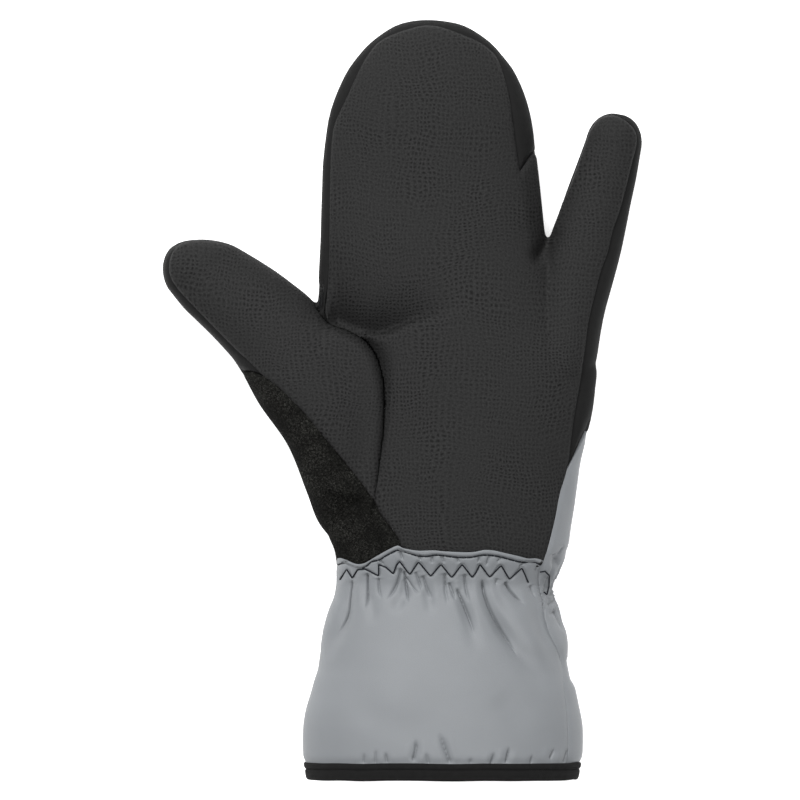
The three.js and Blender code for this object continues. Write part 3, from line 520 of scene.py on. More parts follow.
def beside_path(xy, points, reach=None):
    """Distance from points to a path, which side of it they are on, and how far along it.
    Beyond the reach, if there is one, the distance is only known to be large."""
    if reach is not None:
        ends = np.array(points, float)
        near = np.all((xy > ends.min(0) - reach) & (xy < ends.max(0) + reach), axis=1)
        near = near.nonzero()[0]
        found = np.tile([[FAR], [1.0], [0.0]], len(xy))
        if len(near):
            found[:, near] = beside_path(xy[near], points)
        return tuple(found)
    line = path_through(points, 0.5)
    a, b = line[:-1], line[1:]
    way = b - a
    p = xy[:, None]
    u = np.clip(((p - a) * way).sum(2) / (way**2).sum(1), 0, 1)
    gap = (p - a) - u[..., None] * way
    distance = np.sqrt((gap**2).sum(2))
    k = distance.argmin(1)
    rows = np.arange(len(xy))
    side = np.sign(way[k, 0] * gap[rows, k, 1] - way[k, 1] * gap[rows, k, 0])
    return distance[rows, k], side, (k + u[rows, k]) / len(a)


def fold_depth(xy, folds):
    """Depth of a set of folds. Each is a sharp valley with a wider shoulder, its depth falling
    off beside the path as a sum of two exponentials of the distance, between two low rounded
    pleats. It comes in quickly at its upper end and dies out slowly at the other."""
    total = np.zeros(len(xy))
    for points, depth, width in folds:
        q, _, along = beside_path(xy, points, 12)
        fade = smoothstep(0, 0.1, along) * falling(0.55, 1, along)
        beside = (along > 0) & (along < 1)
        core = np.exp(-np.sqrt((q / max(0.36 * width, 0.2)) ** 2 + 0.03) + 0.17)
        shoulder = bell(q, 3.4 * width, 1.5)
        pleat = bell(q - 5.0 * width, 2.4 * width)
        total += 1.2 * depth * fade * beside * (1.1 * core + 0.34 * shoulder - 0.13 * pleat)
    return total


def valley_depth(xy, valleys):
    """Depth of broad valleys: a bell across each path, rising and dying out along it."""
    total = np.zeros(len(xy))
    for points, depth, width in valleys:
        q, _, along = beside_path(xy, points, 3 * width)
        total += depth * bell(q, width) * smoothstep(0, 0.35, along) * falling(0.55, 1, along)
    return total


def to_frame(points):
    """Millimetres from the middle of the wrist seam, as metres in the frame."""
    return (points + np.array(WRIST_MIDDLE)) * MM


def corners_of(mesh):
    """Number of the point at each corner of each face."""
    corners = np.empty(len(mesh.loops), np.int32)
    mesh.loops.foreach_get("vertex_index", corners)
    return corners


def new_object(name, points, faces, uv=None):
    """Mesh object at the origin from points in mm, with an optional map of the cloth in mm."""
    mesh = bpy.data.meshes.new(name)
    faces = faces.tolist() if isinstance(faces, np.ndarray) else faces
    mesh.from_pydata(to_frame(points), [], faces)
    mesh.polygons.foreach_set("use_smooth", np.ones(len(mesh.polygons), bool))
    if uv is not None:
        layer = mesh.uv_layers.new(name=CLOTH_MAP)
        layer.data.foreach_set("uv", uv[corners_of(mesh)].astype(np.float32).ravel())
    mesh.update()
    item = bpy.data.objects.new(name, mesh)
    bpy.context.scene.collection.objects.link(item)
    return item


def wall(item, thickness, lining):
    """Gives a panel its thickness inwards, with the lining on its inside."""
    item.data.materials.append(lining)
    solid = item.modifiers.new("wall", "SOLIDIFY")
    solid.thickness = thickness * MM
    solid.offset = -1
    solid.use_even_offset = False
    solid.material_offset = len(item.data.materials) - 1
    solid.material_offset_rim = 0


def carry(item, slot, *nodes):
    """Makes a piece ride on the mitt and stand for its CAD nodes, which it hides. The slot is not
    used.
    """
    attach(item, BODY)
    if nodes:
        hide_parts(*nodes)
    return item


def thread(name, line, radius, sides=6):
    """Round thread along a path: a circle of points square to the path at each of its places."""
    way = np.gradient(line, axis=0)
    way /= np.linalg.norm(way, axis=1, keepdims=True)
    aside = np.cross(way, (0.0, 0.0, 1.0))
    aside /= np.linalg.norm(aside, axis=1, keepdims=True)
    above = np.cross(aside, way)
    turn = np.linspace(0, 2 * np.pi, sides, endpoint=False)[:, None]
    radius = np.broadcast_to(radius, len(line))[:, None, None]
    circle = aside[:, None] * np.cos(turn) + above[:, None] * np.sin(turn)
    return new_object(name, *tube(line[:, None] + radius * circle))


# ------------------------------------------------------------------------------------- the skin


def quarter_round(distance, radius):
    """Height of a quarter round, from nought at its foot to 1 at the radius and beyond."""
    return np.sqrt(1 - (1 - np.minimum(distance, radius) / radius) ** 2)


def folded(points):
    """Sculpts what runs over more than one panel: the cushion at the root of the thumb, the
    hollow above it, the crease of the palm, and the corners of the sides. It is worked out from
    places alone, so two panels still meet after it. Also says how near a point is to the
    crease, from 1 on it down to nought."""
    x, y, level = points.T
    xy = points[:, :2]
    up = smoothstep(12, 21, level)
    z = level.copy()

    # a hollow above the thumb's crotch and the palm's crease, fading to the right; the palm's
    # pad turns down into it over a quarter round
    q, side, along = beside_path(xy, THUMB_SEAM, 26)
    on_thumb = side < 0  # the thumb lies to the right of its seam as the seam runs
    gap, above, share = beside_path(xy, HOLLOW_EDGE, 30)
    strength = 13.5 * smoothstep(-45.2, -38.6, x) * falling(0.34, 1.0, share) * falling(20, 30, gap)
    lip = (1 - quarter_round(gap, 3.5)) * smoothstep(0.36, 0.5, share)
    shape = np.where(above > 0, bell(gap, 10.5, 1.35), lip)
    z = z - np.where(on_thumb, 0, strength * shape * up)

    # the crease round the thumb's cushion: the palm dips into it, and the cushion rises out of
    # it over a quarter round to the height of the pad behind
    bottom, width = np.moveaxis(catmull(THUMB_CREASE, along), -1, 0)
    near = smoothstep(22, 27, level)
    creased = bell(q, 2.5) * near * smoothstep(0.05, 0.15, along)
    dipped = bottom + (z - bottom) * (1 - bell(q, width, 1.2))
    plateau = 37.4 + 1.2 * np.sin(np.pi * along)
    edge = bottom + (plateau - bottom) * quarter_round(q, 4.5)
    blend = smoothstep(1.5, 6, q)
    behind = (z + edge + np.sqrt((z - edge) ** 2 + 6)) / 2 - 0.6
    cushion = (1 - blend) * edge + blend * behind
    cushion = z + (cushion - z) * falling(12, 24, q) * smoothstep(0.1, 0.22, along)
    fade = np.where((along <= 0) | (along >= 1), bell(q, 5), 1)
    z = z + (np.where(on_thumb, cushion, dipped) - z) * near * fade

    # a short soft groove runs down to the left from the little finger's crotch
    q, _, along = beside_path(xy, LITTLE_GROOVE, 12)
    high = smoothstep(12, 29, level)
    z = z - 6.0 * falling(0.6, 1, along) * bell(q, 2.5, 1.7) * high

    # the broad compartment turns down at its right side, most beside the little finger
    beyond = x - np.interp(y, *TURN_DOWN)
    fade = smoothstep(104, 120, y) * falling(132, 160, y) * falling(37.6, 40.5, x)
    z = z - 4.6 * smoothstep(0, 9.5, beyond) * fade * high

    # slow unevenness of the padding
    slow = 0.35 * np.sin(x / 13 + 1.2 * np.sin(y / 21)) * np.sin(y / 17 + 0.8 * np.sin(x / 15 + 1))
    z = z + slow * up * smoothstep(0, 20, y)
    return np.stack([x, y, z], 1), creased


def strip_dents(points):
    """Depth of the dents in the gauntlet's strip around the end of the elastic."""
    x, y, z = points.T
    total = np.zeros(len(points))
    for middle, depth, half_width, half_length in STRIP_DENTS:
        total += depth * oval(x, y, middle, half_width, half_length)
    return total * smoothstep(8, 18, z)


def crumple(xy):
    """Fine crumpling where the side seam and the elastic bunch the cloth: creases along the
    zero lines of two crossed waves, within an oval beside the seam."""
    x, y = xy.T
    waves = np.sin(2.0 * x + 1.2 * y + 1.6 * np.sin(0.9 * y))
    waves = waves * np.sin(2.5 * y - 0.9 * x + 1.3 * np.sin(1.1 * x))
    return 0.95 * (0.6 - np.abs(waves) ** 0.6) * oval(x, y, (39.2, -13.5), 3.2, 7.5)


class Skin:
    """The whole outside of the mitt as one fine surface, with what each panel needs of it."""

    def __init__(self, grain):
        self.points, self.triangles = self.joined_tubes(grain)
        self.edges = edges_of(self.triangles)
        self.points = relaxed(self.points, self.edges, 6)
        self.points += vertex_normals(self.points, self.triangles) * (0.3, 0.3, 0)
        self.normals = vertex_normals(folded(self.points)[0], self.triangles)
        self.measure()

    @staticmethod
    def joined_tubes(grain):
        """Sleeve, thumb and little finger as closed tubes, remeshed into one skin."""
        angle = np.linspace(0, 2 * np.pi, 180, endpoint=False)
        cap = np.sin(np.linspace(0.04, 0.5, 20) * np.pi)
        body_y = np.linspace(HEM - 4, CAP_START, 150)
        body_t = np.linspace(0, Limb.cap_start, 70)
        limb_t = np.concatenate([body_t, Limb.cap_start + (1 - Limb.cap_start) * cap])
        body_y = np.concatenate([body_y, CAP_START + CAP_LENGTH * cap])
        tubes = [
            tube(sleeve_rings(body_y, angle)),
            tube(thumb.rings(limb_t, angle[::2])),
            tube(little.rings(limb_t, angle[::2])),
        ]
        starts = np.cumsum([0] + [len(points) for points, _ in tubes])
        faces = [tuple(start + k for k in face)
                 for start, (_, part) in zip(starts, tubes) for face in part]
        item = new_object("skin_source", np.concatenate([points for points, _ in tubes]), faces)
        union = item.modifiers.new("union", "REMESH")
        union.mode = "VOXEL"
        union.voxel_size = grain * MM
        joined = item.evaluated_get(bpy.context.evaluated_depsgraph_get())
        mesh = joined.to_mesh()
        points = np.empty(len(mesh.vertices) * 3, np.float32)
        mesh.vertices.foreach_get("co", points)
        corners = corners_of(mesh)
        joined.to_mesh_clear()
        bpy.data.objects.remove(item)
        points = points.reshape(-1, 3).astype(float) / MM - np.array(WRIST_MIDDLE)
        return points, triangles_of(corners.reshape(-1, 4))

    def measure(self):
        """Height of the side seam, map of the cloth and distances to seams at each point."""
        x, y, z = self.points.T
        xy = self.points[:, :2]
        left, right, top, base = sleeve_shape(y)
        half = np.maximum((right - left) / 2, 1.0)
        everywhere = np.ones(len(x), bool)
        members = [(x - (left + right) / 2, half, top, base, np.array([1.0, 0.0]), everywhere)]
        for limb in (thumb, little):
            t, *rest = limb.local(xy)
            members.append((*rest, limb.right, (t > 0.02) & (t < 1)))
        # a sleeve or limb has its say where it is near, measured in its own half widths
        weights = np.stack([
            np.where(real, np.exp(-7 * np.abs(across) / half), 1e-9)
            for across, half, _, _, _, real in members
        ])
        weights /= weights.sum(0)
        self.seam_height = sum(
            w * (base + SEAM_SHARE * (top - base))
            for w, (_, _, top, base, _, _) in zip(weights, members))
        for _ in range(12):
            self.seam_height = neighbour_mean(self.seam_height, self.edges, len(x))
        front = self.front = z - self.seam_height
        self.maps = {}
        for facing in ("front", "back"):
            extra = np.zeros((len(x), 2))
            for w, (across, half, top, base, way, _) in zip(weights, members):
                more = self.unrolled(across, half, top, base, z, facing == "front")
                extra += (w * more)[:, None] * way
            self.maps[facing] = xy + extra

        def inside(*runs):
            return signed_distance(xy, outline(*runs))

        cuff = inside(WRIST_EDGE, CUFF_SIDE_SEAM, [(46, -90), (-70, -90), (-60, -1.4)])
        self.cuff_front = np.minimum(cuff, front)
        palm = inside(
            THUMB_SEAM[:3:-1], FINGERS_SEAM[::-1], FINGERS_SIDE_SEAM[::-1], BETWEEN_FINGERS[::-1],
            PALM_RIGHT[::-1], [(36.6, -4), (35, -5)], PALM_FOOT, THUMB_ROOT_SEAM[::-1])
        self.palm = np.minimum(palm, front)
        self.thumb = np.minimum(inside(THUMB_SEAM, THUMB_LOWER_SEAM), front)
        fleece_front = inside(
            THUMB_LOWER_SEAM[:7], FLEECE_TOP, FLEECE_SIDE,
            [(-60, -4.2), (-36, -4.8), (-16, -0.5)], THUMB_ROOT_SEAM[::-1])
        fleece_back = inside(
            FLEECE_BACK, [(-16, -0.5), (-32, -4.7), (-60, -4.2)], FLEECE_SIDE[::-1])
        blend = smoothstep(-3, 3, front)
        self.fleece = fleece_back + (fleece_front - fleece_back) * blend
        # the back of the cuff shows from above as a strip at each side
        low_left, low_right = (-80, -95), (80, -95)  # corners clear of the mitt
        low = inside(YOKE, [(-60, 30), low_left, low_right, (60, 41)])
        right_strip = inside(
            STRIP_TOP, [(58, 54), low_right], [low_right, (20, -95)],
            [(20, -95), (20, -20), (36, 21)])
        left_strip = inside(
            [low_left, (-20, -95)], [(-20, -95), (-24, -6)], [(-24, -6), (-80, -4)],
            [(-80, -4), low_left])
        self.cuff_back = low + (np.maximum(right_strip, left_strip) - low) * blend

    @staticmethod
    def unrolled(across, half, top, base, height, front):
        """How much further the cloth reaches than it looks from above. The place round the
        section is the angle from its middle, and the way round to it is summed over the section
        of a middling height; what is left after the plain distance across is the extra."""
        rise = 0.42
        angle = np.linspace(0, np.pi, 181)
        wide, high = np.sin(angle), np.cos(angle)
        wide = np.sign(wide) * np.abs(wide) ** UPPER_ROUND
        high = np.sign(high) * np.abs(high) ** UPPER_ROUND * rise
        walked = np.concatenate([[0], np.cumsum(np.hypot(np.diff(wide), np.diff(high)))])
        side = base + (top - base) * SIDE_SHARE
        room = np.where(height > side, np.maximum(top - side, 1), np.maximum(side - base, 1))
        up = (height - side) / room
        turn = np.arctan2(np.abs(across) / half, up if front else -up)
        extra = np.interp(turn, angle, walked) - np.interp(turn, angle, wide)
        return np.sign(across) * half * extra

    def panel(self, field, facing, *cut_by):
        """One panel: a row of numbers for each of its points, and its triangles. The last
        column, number 10, says how near the point is to the crease of the thumb."""
        field = np.minimum.reduce([field, *[-other for other in cut_by]]) - 0.015
        # columns: 0-2 place, 3-5 normal, 6-7 cloth map, 8 border, 9 height over the side seam
        data = np.column_stack([self.points, self.normals, self.maps[facing], field, self.front])
        data, triangles = sliced(data, self.triangles, field)
        points, creased = folded(data[:, :3])
        data[:, :3] = points - data[:, 3:6] * strip_dents(points)[:, None]
        return np.column_stack([data, creased]), triangles


_made = {}


def skin():
    """The skin, worked out once for all the operators."""
    if "skin" not in _made:
        _made["skin"] = Skin(bpy.context.scene.mitt_sizes.grain / MM)
    return _made["skin"]


def seam_roll(distance, depth, width, puff_depth=0.15, puff_width=5.0):
    """How far a panel's cloth sinks near its border: sharply into the seam, and gently over a
    wider strip where the padding thins out."""
    return depth * bell(distance, width) + puff_depth * bell(distance, puff_width)


# ------------------------------------------------------------------------------------ materials


def linear(hex_colour):
    """An sRGB hex value as linear red, green and blue."""
    value = np.array([int(hex_colour[k:k + 2], 16) for k in (1, 3, 5)]) / 255
    return tuple(np.where(value <= 0.04045, value / 12.92, ((value + 0.055) / 1.055) ** 2.4))


class Look:
    """A material, with short names for the nodes that it is made of."""

    def __init__(self, name):
        self.material = bpy.data.materials.new(name)
        self.material.use_nodes = True
        self.tree = self.material.node_tree
        self.tree.nodes.clear()

    def add(self, kind, settings=None, **inputs):
        """Adds a node, sets its settings and fills its inputs with values or with links."""
        node = self.tree.nodes.new(kind)
        for key, value in (settings or {}).items():
            setattr(node, key, value)
        for key, value in inputs.items():
            numbered = key[0] == "i" and key[1:].isdigit()
            socket = node.inputs[int(key[1:]) if numbered else key.replace("_", " ")]
            if isinstance(value, bpy.types.NodeSocket):
                self.tree.links.new(value, socket)
            else:
                socket.default_value = value
        return node

    def cloth(self):
        """Place on the cloth, in mm."""
        return self.add("ShaderNodeUVMap", {"uv_map": CLOTH_MAP}).outputs[0]

    def place(self):
        """Place on the object, in metres."""
        return self.add("ShaderNodeTexCoord").outputs["Object"]

    def noise(self, place, scale, detail, roughness=0.5, output=0, **more):
        return self.add("ShaderNodeTexNoise", {"noise_dimensions": "2D"}, Vector=place, Scale=scale,
                        Detail=detail, Roughness=roughness, **more).outputs[output]

    def cells(self, place, pitch, setting, kind, **more):
        """Distance in a grid of slightly shaken cells."""
        settings = {"voronoi_dimensions": "2D", setting: kind}
        return self.add("ShaderNodeTexVoronoi", settings, Vector=place, Scale=1 / pitch,
                        Randomness=0.3, **more).outputs["Distance"]

    def ramp(self, value, low, high, start, end, kind="LINEAR"):
        """Carries a value from the span low to high over to the span start to end."""
        return self.add("ShaderNodeMapRange", {"interpolation_type": kind}, i0=value, i1=low,
                        i2=high, i3=start, i4=end).outputs[0]

    def maths(self, operation, *values, kind="ShaderNodeMath"):
        inputs = {f"i{k}": value for k, value in enumerate(values)}
        return self.add(kind, {"operation": operation}, **inputs).outputs[0]

    def vectors(self, operation, *values):
        return self.maths(operation, *values, kind="ShaderNodeVectorMath")

    def scaled(self, vector, factor):
        settings = {"operation": "SCALE"}
        return self.add("ShaderNodeVectorMath", settings, i0=vector, Scale=factor).outputs[0]

    def mixed(self, share, first, second):
        settings = {"data_type": "RGBA"}
        return self.add("ShaderNodeMix", settings, i0=share, i6=first, i7=second).outputs[2]

    def finish(self, colour, height, bump, **surface):
        """Bump of so many mm from a height, the surface shader and the output."""
        raised = self.add("ShaderNodeBump", Height=height, Strength=1.0, Distance=bump * MM)
        shader = self.add("ShaderNodeBsdfPrincipled", Base_Color=colour,
                          Normal=raised.outputs[0], **surface)
        self.add("ShaderNodeOutputMaterial", Surface=shader.outputs[0])
        return self.material


def grip_synthetic(colours, pitch):
    """Clarino-like grip synthetic, embossed: charcoal, with small squarish pits in a wavy grid,
    darkened by painted shade, and painted light on the paler lines between them."""
    look = Look("grip_synthetic")
    cloth = look.cloth()
    ground, dark, pale = ((*linear(c), 1) for c in colours)
    # the grid bends slowly and is shaken a little
    wave = look.vectors("SUBTRACT", look.noise(cloth, 0.022, 3.0, output="Color"), (0.5, 0.5, 0.5))
    bent = look.vectors("ADD", cloth, look.scaled(wave, 13.0))
    jitter = look.noise(cloth, 0.22, 2.0, 0.6, output="Color")
    warped = look.vectors("ADD", bent, look.scaled(jitter, 1.3))
    pits = look.cells(warped, pitch, "distance", "MINKOWSKI", Exponent=2.4)
    between = look.cells(warped, pitch, "feature", "DISTANCE_TO_EDGE")
    # the embossing is stronger in some places than in others
    patches, flecks = look.noise(cloth, 0.06, 2.0), look.noise(cloth, 0.6, 1.0)
    worn = look.maths("MULTIPLY_ADD", flecks, 0.45, patches)
    strength = look.ramp(worn, 0.5, 0.95, 0.25, 0.95)
    # painted shade darkens the embossed pits and painted light pales the raised lines between them
    floor_of_pit = look.ramp(pits, 0.1, 0.36, 0.0, 1.0, "SMOOTHSTEP")
    pit = look.ramp(floor_of_pit, 0.0, 1.0, strength, 0.0)
    line = look.ramp(between, 0.0, 0.2, strength, 0.0, "SMOOTHSTEP")
    pit_shaded_colour = look.mixed(pit, look.mixed(line, ground, pale), dark)
    grain = look.noise(cloth, 1.5, 3.0, 0.65)
    speckled = look.scaled(pit_shaded_colour, look.ramp(grain, 0.3, 0.7, 0.74, 1.26))
    relief = look.maths("MULTIPLY_ADD", pit, -1.0, grain)
    return look.finish(speckled, relief, 0.15, Roughness=0.65, Specular_IOR_Level=0.03)


def plain_cloth(name, colour, thread_pitch, bump, roughness, mottle=0.12, **surface):
    """A woven or knitted cloth: two crossed sets of threads, with a gentle unevenness of dye."""
    look = Look(name)
    cloth = look.cloth()
    parts = look.add("ShaderNodeSeparateXYZ", i0=cloth).outputs
    turn = 2 * math.pi / thread_pitch
    waves = [look.maths("SINE", look.maths("MULTIPLY", parts[k], turn)) for k in (0, 1)]
    weave = look.maths("MULTIPLY", *waves)
    uneven = look.noise(cloth, 0.5, 5.0, 0.7)
    toned_colour = look.scaled(linear(colour), look.ramp(uneven, 0.25, 0.75, 1 - mottle, 1 + mottle))
    relief = look.maths("MULTIPLY_ADD", uneven, 1.5, weave)
    return look.finish(toned_colour, relief, bump, Roughness=roughness, **surface)


def brushed_fleece(dark, pale):
    """Polyester fleece, brushed and sheared: black, matted into small tufts with paler tips."""
    look = Look("brushed_fleece")
    cloth = look.cloth()
    tufts = look.noise(cloth, 1.5, 5.0, 0.8, Distortion=0.8)
    lay = look.ramp(look.noise(cloth, 0.09, 3.0, 0.6), 0.35, 0.65, 0.35, 1.0)
    tips = look.ramp(tufts, 0.44, 0.68, 0.0, lay, "SMOOTHSTEP")
    colour = look.mixed(tips, (*linear(dark), 1), (*linear(pale), 1))
    return look.finish(colour, tufts, 0.8, Roughness=0.95, Specular_IOR_Level=0.02)


def silver_weave(colour):
    """Reflective polyester taffeta with a glass-bead coating: silver grey, finely grained, with
    a soft dull shine and no mirror."""
    look = Look("silver_weave")
    cloth = look.cloth()
    beads = look.noise(cloth, 3.2, 2.0, 0.6)
    fine = look.ramp(beads, 0.3, 0.7, 0.95, 1.05)
    broad = look.ramp(look.noise(cloth, 0.05, 3.0), 0.3, 0.7, 0.975, 1.025)
    shade = look.scaled(linear(colour), look.maths("MULTIPLY", fine, broad))
    return look.finish(shade, beads, 0.05, Roughness=0.55, Specular_IOR_Level=0.4)


def sewing_thread(colour):
    """Spun polyester thread, dyed blue black, with painted light and shade on its twist as lighter
    and darker bands.
    """
    look = Look("sewing_thread")
    twist = look.add("ShaderNodeTexWave", {"bands_direction": "DIAGONAL"}, Vector=look.place(),
                     Scale=900.0, Distortion=1.0).outputs["Fac"]
    # painted light and shade: the twist's bands are made lighter and darker in the colour
    toned_colour = look.scaled(linear(colour), look.ramp(twist, 0.0, 1.0, 0.7, 1.3))
    return look.finish(toned_colour, twist, 0.05, Roughness=0.6, Specular_IOR_Level=0.15)


def studio_floor(colour):
    """Opal acrylic board lit from behind, as a catalogue's light table: white, without shadows."""
    look = Look("background_board")
    grain = look.add("ShaderNodeTexNoise", Vector=look.place(), Scale=300.0).outputs[0]
    tone = look.scaled(linear(colour), look.ramp(grain, 0.0, 1.0, 0.99, 1.0))
    return look.finish(tone, grain, 0.01, Roughness=1.0, Specular_IOR_Level=0.0,
                       Emission_Color=(1, 1, 1, 1), Emission_Strength=0.62)


def cloths():
    """The mitt's materials, made once."""
    if "cloths" not in _made:
        c, pitch = bpy.context.scene.mitt_colours, bpy.context.scene.mitt_sizes.dot_pitch / MM
        dull = {"Specular_IOR_Level": 0.1}
        _made["cloths"] = {
            "grip": grip_synthetic((c.grip, c.grip_pit_shade, c.grip_line_light), pitch),
            "softshell": plain_cloth(
                "stretch_softshell", c.softshell, 0.42, 0.02, 0.7, 0.08, Specular_IOR_Level=0.04),
            "fleece": brushed_fleece(c.fleece, c.fleece_tip),
            "silver": silver_weave(c.silver),
            "tape": plain_cloth("knitted_tape", c.tape, 0.9, 0.12, 0.9, 0.2, **dull),
            "lining": plain_cloth("tricot_lining", c.lining, 0.6, 0.04, 0.85, **dull),
            "thread": sewing_thread(c.thread),
        }
    return _made["cloths"]


# ------------------------------------------------------------------------- settings in the sidebar


def length_property(name, default, words):
    return FloatProperty(name=name, default=default, description=words, unit="LENGTH")


def hex_property(name, default, words):
    return StringProperty(name=name, default=default, description=f"sRGB hex colour of {words}")


class MittSizes(bpy.types.PropertyGroup):
    """Sizes that a user would change."""

    grain: length_property("Grain", 0.00085, "Distance between points of the skin")
    pad_wall: length_property("Padded wall", 0.0022, "Thickness of the hand's quilted panels")
    cuff_wall: length_property("Cuff wall", 0.0014, "Thickness of the gauntlet's cloth and lining")
    seam_depth: length_property("Seam depth", 0.0006, "How far the cloth sinks into a seam")
    thread: length_property("Thread", 0.0006, "Diameter of the topstitching thread")
    dot_pitch: length_property("Dot pitch", 0.0016, "Distance between the grip's pits")
    lip: length_property("Edge fold", 0.0009, "How far the cuff's folded edge stands proud")


class MittColours(bpy.types.PropertyGroup):
    """Colours that a user would change."""

    grip: hex_property("Grip", "#262626", "the grip synthetic's ground")
    # the grip's pit colour is painted shade and its line colour painted light on the embossing
    grip_pit_shade: hex_property("Grip pits", "#191919", "the pits of the grip synthetic")
    grip_line_light: hex_property("Grip lines", "#2a2a2a", "the lines between the pits")
    softshell: hex_property("Softshell", "#1b1b1b", "the back's stretch softshell")
    fleece: hex_property("Fleece", "#10100f", "the fleece between its tufts")
    fleece_tip: hex_property("Fleece tips", "#3f3f3c", "the tips of the fleece")
    silver: hex_property("Silver cloth", "#6e7174", "the reflective gauntlet")
    tape: hex_property("Binding tape", "#181818", "the knitted binding")
    lining: hex_property("Lining", "#202021", "the inside of every panel")
    thread: hex_property("Thread", "#14171c", "the topstitching")
    board: hex_property("Background", "#f4f4f4", "the background board")


# -------------------------------------------------------------------------------------- operators


class MITT_OT_stage(bpy.types.Operator):
    """Adds the background board, the soft light and the camera above the palm"""

    bl_idname = "mitt.stage"
    bl_label = "Stage"

    def execute(self, context):
        reach = 4.0  # from the middle of the board to its edge
        corners = np.array([(-1, -1, 0), (1, -1, 0), (1, 1, 0), (-1, 1, 0)]) * reach / MM
        board = new_object("background_board", corners, [(0, 1, 2, 3)])
        board.data.materials.append(studio_floor(context.scene.mitt_colours.board))
        world = bpy.data.worlds.new("studio")
        context.scene.world = world
        world.use_nodes = True
        colour, strength = world.node_tree.nodes["Background"].inputs[:2]
        colour.default_value, strength.default_value = (1, 1, 1, 1), 0.52
        # softboxes: place and width in metres, power in watts
        for name, place, size, power in (
            ("key_softbox", (-0.5, 1.2, 1.4), 0.7, 34.0),
            ("overhead_softbox", (0.1, -0.1, 2.2), 1.2, 27.0),
        ):
            lamp = bpy.data.lights.new(name, "AREA")
            lamp.shape, lamp.size, lamp.energy = "DISK", size, power
            item = bpy.data.objects.new(name, lamp)
            item.location = place
            item.rotation_mode = "QUATERNION"
            item.rotation_quaternion = (-item.location).to_track_quat("-Z", "Y")
            context.scene.collection.objects.link(item)
        view = bpy.data.cameras.new("camera")
        camera = bpy.data.objects.new("camera", view)
        height, field, level = 5.0, 0.296, 0.02  # the picture is as wide as field at that level
        view.lens = view.sensor_width * (height - level) / field
        camera.location = (-0.0008, 0.0, height)
        context.scene.collection.objects.link(camera)
        context.scene.camera = camera
        context.scene.view_settings.view_transform = "Standard"
        return {"FINISHED"}


class MITT_OT_hand_panels(bpy.types.Operator):
    """Sews the padded panels of the hand: palm, front of the thumb, fleece and back"""

    bl_idname = "mitt.hand_panels"
    bl_label = "Hand panels"

    def execute(self, context):
        s, sizes, looks = skin(), context.scene.mitt_sizes, cloths()
        depth = sizes.seam_depth / MM
        under_edge = s.cuff_front - 2.0  # panels run 2 mm on under the cuff's folded edge
        everywhere = np.full(len(s.points), 1e3)
        # name, where it lies, its side, what cuts it, material, slot and share of fill
        panels = [
            ("palm_panel", s.palm, "front", [under_edge], "grip", "grip_fabric", 0.35),
            ("thumb_palm", s.thumb, "front", [s.palm], "grip", "grip_fabric", 0.4),
            ("thumb_fleece", s.fleece, "front", [s.palm, s.thumb, under_edge],
             "fleece", "fleece", 0.4),
            ("back_panel", everywhere, "back",
             [s.palm, s.thumb, s.fleece, s.cuff_front, s.cuff_back],
             "softshell", "softshell", 0.35),
        ]
        for name, field, facing, cut_by, look, slot, fill in panels:
            data, triangles = s.panel(field, facing, *cut_by)
            points, normals, cloth = data[:, :3], data[:, 3:6], data[:, 6:8]
            border, front, creased = np.maximum(data[:, 8], 0), data[:, 9], data[:, 10]
            roll = seam_roll(border, depth, 0.8)
            if facing == "back":  # its strips round to the front are drawn in more
                roll += 0.8 * bell(border, 2.2) * smoothstep(0, 4, front)
            roll *= 1 - creased
            item = new_object(name, points - normals * roll[:, None], triangles, cloth)
            item.data.materials.append(looks[look])
            wall(item, sizes.pad_wall / MM, looks["lining"])
            carry(item, slot, name)
        return {"FINISHED"}


class MITT_OT_cuff(bpy.types.Operator):
    """Sews the gathered gauntlet: its front with the folded upper edge, and its back"""

    bl_idname = "mitt.cuff"
    bl_label = "Cuff"

    def execute(self, context):
        sizes, looks = context.scene.mitt_sizes, cloths()
        points, faces, cloth = cuff_front_surface(sizes)
        front = new_object("cuff_front", points, faces, cloth)
        s = skin()
        field = np.minimum(s.cuff_back, s.points[:, 1] - CUFF_START)
        data, triangles = s.panel(field, "back", s.palm, s.thumb, s.fleece, s.cuff_front)
        points, normals, cloth, border = data[:, :3], data[:, 3:6], data[:, 6:8], data[:, 8]
        roll = seam_roll(np.maximum(border, 0), sizes.seam_depth / MM * 0.7, 0.9, 0.2, 4.0)
        puckers = fold_depth(points[:, :2], STRIP_FOLDS) + crumple(points[:, :2])
        puckers = puckers * smoothstep(9, 15, points[:, 2])
        roll += back_gathers(points) + hem_tuck(points[:, 1]) + puckers
        back = new_object("cuff_back", points - normals * roll[:, None], triangles, cloth)
        for item, node in ((front, "cuff_front"), (back, "cuff_back")):
            item.data.materials.append(looks["silver"])
            wall(item, sizes.cuff_wall / MM, looks["lining"])
            carry(item, "reflective_fabric", node)
        return {"FINISHED"}


def hem_tuck(y):
    """The cuff is drawn in a little where the binding grips it."""
    above = y > BINDING_TOP
    return 0.6 * bell(y - BINDING_TOP, 1.6) * above + 0.6 * ~above


def back_gathers(points):
    """Gathers all round the underside and the side strip: valleys that fan down from the
    elastic, each with a length and depth of its own, and shorter ones above it."""
    x, y, z = points.T
    left, right, top, base = sleeve_shape(y)
    half, side = (right - left) / 2, top * SIDE_SHARE
    turn = np.arctan2((z - side) * half / np.maximum(side, 1), x - (left + right) / 2)
    around = turn / (2 * np.pi)
    count = 26  # of gathers, all round
    wobble = 0.12 * np.sin(around * 2 * np.pi * 5 + 0.7) + 0.08 * np.sin(around * 2 * np.pi * 11)
    place = (around + 0.5) * count + wobble
    which = np.round(place)
    reach = 12 + 14 * (1 + np.sin(which * 2.4)) / 2
    below = ELASTIC + 2 - y
    fade = np.where(below > 0, falling(0, 1, below / reach), falling(0, 9, -below))
    return (1.1 * bell(place - which, 0.2) - 0.35) * fade


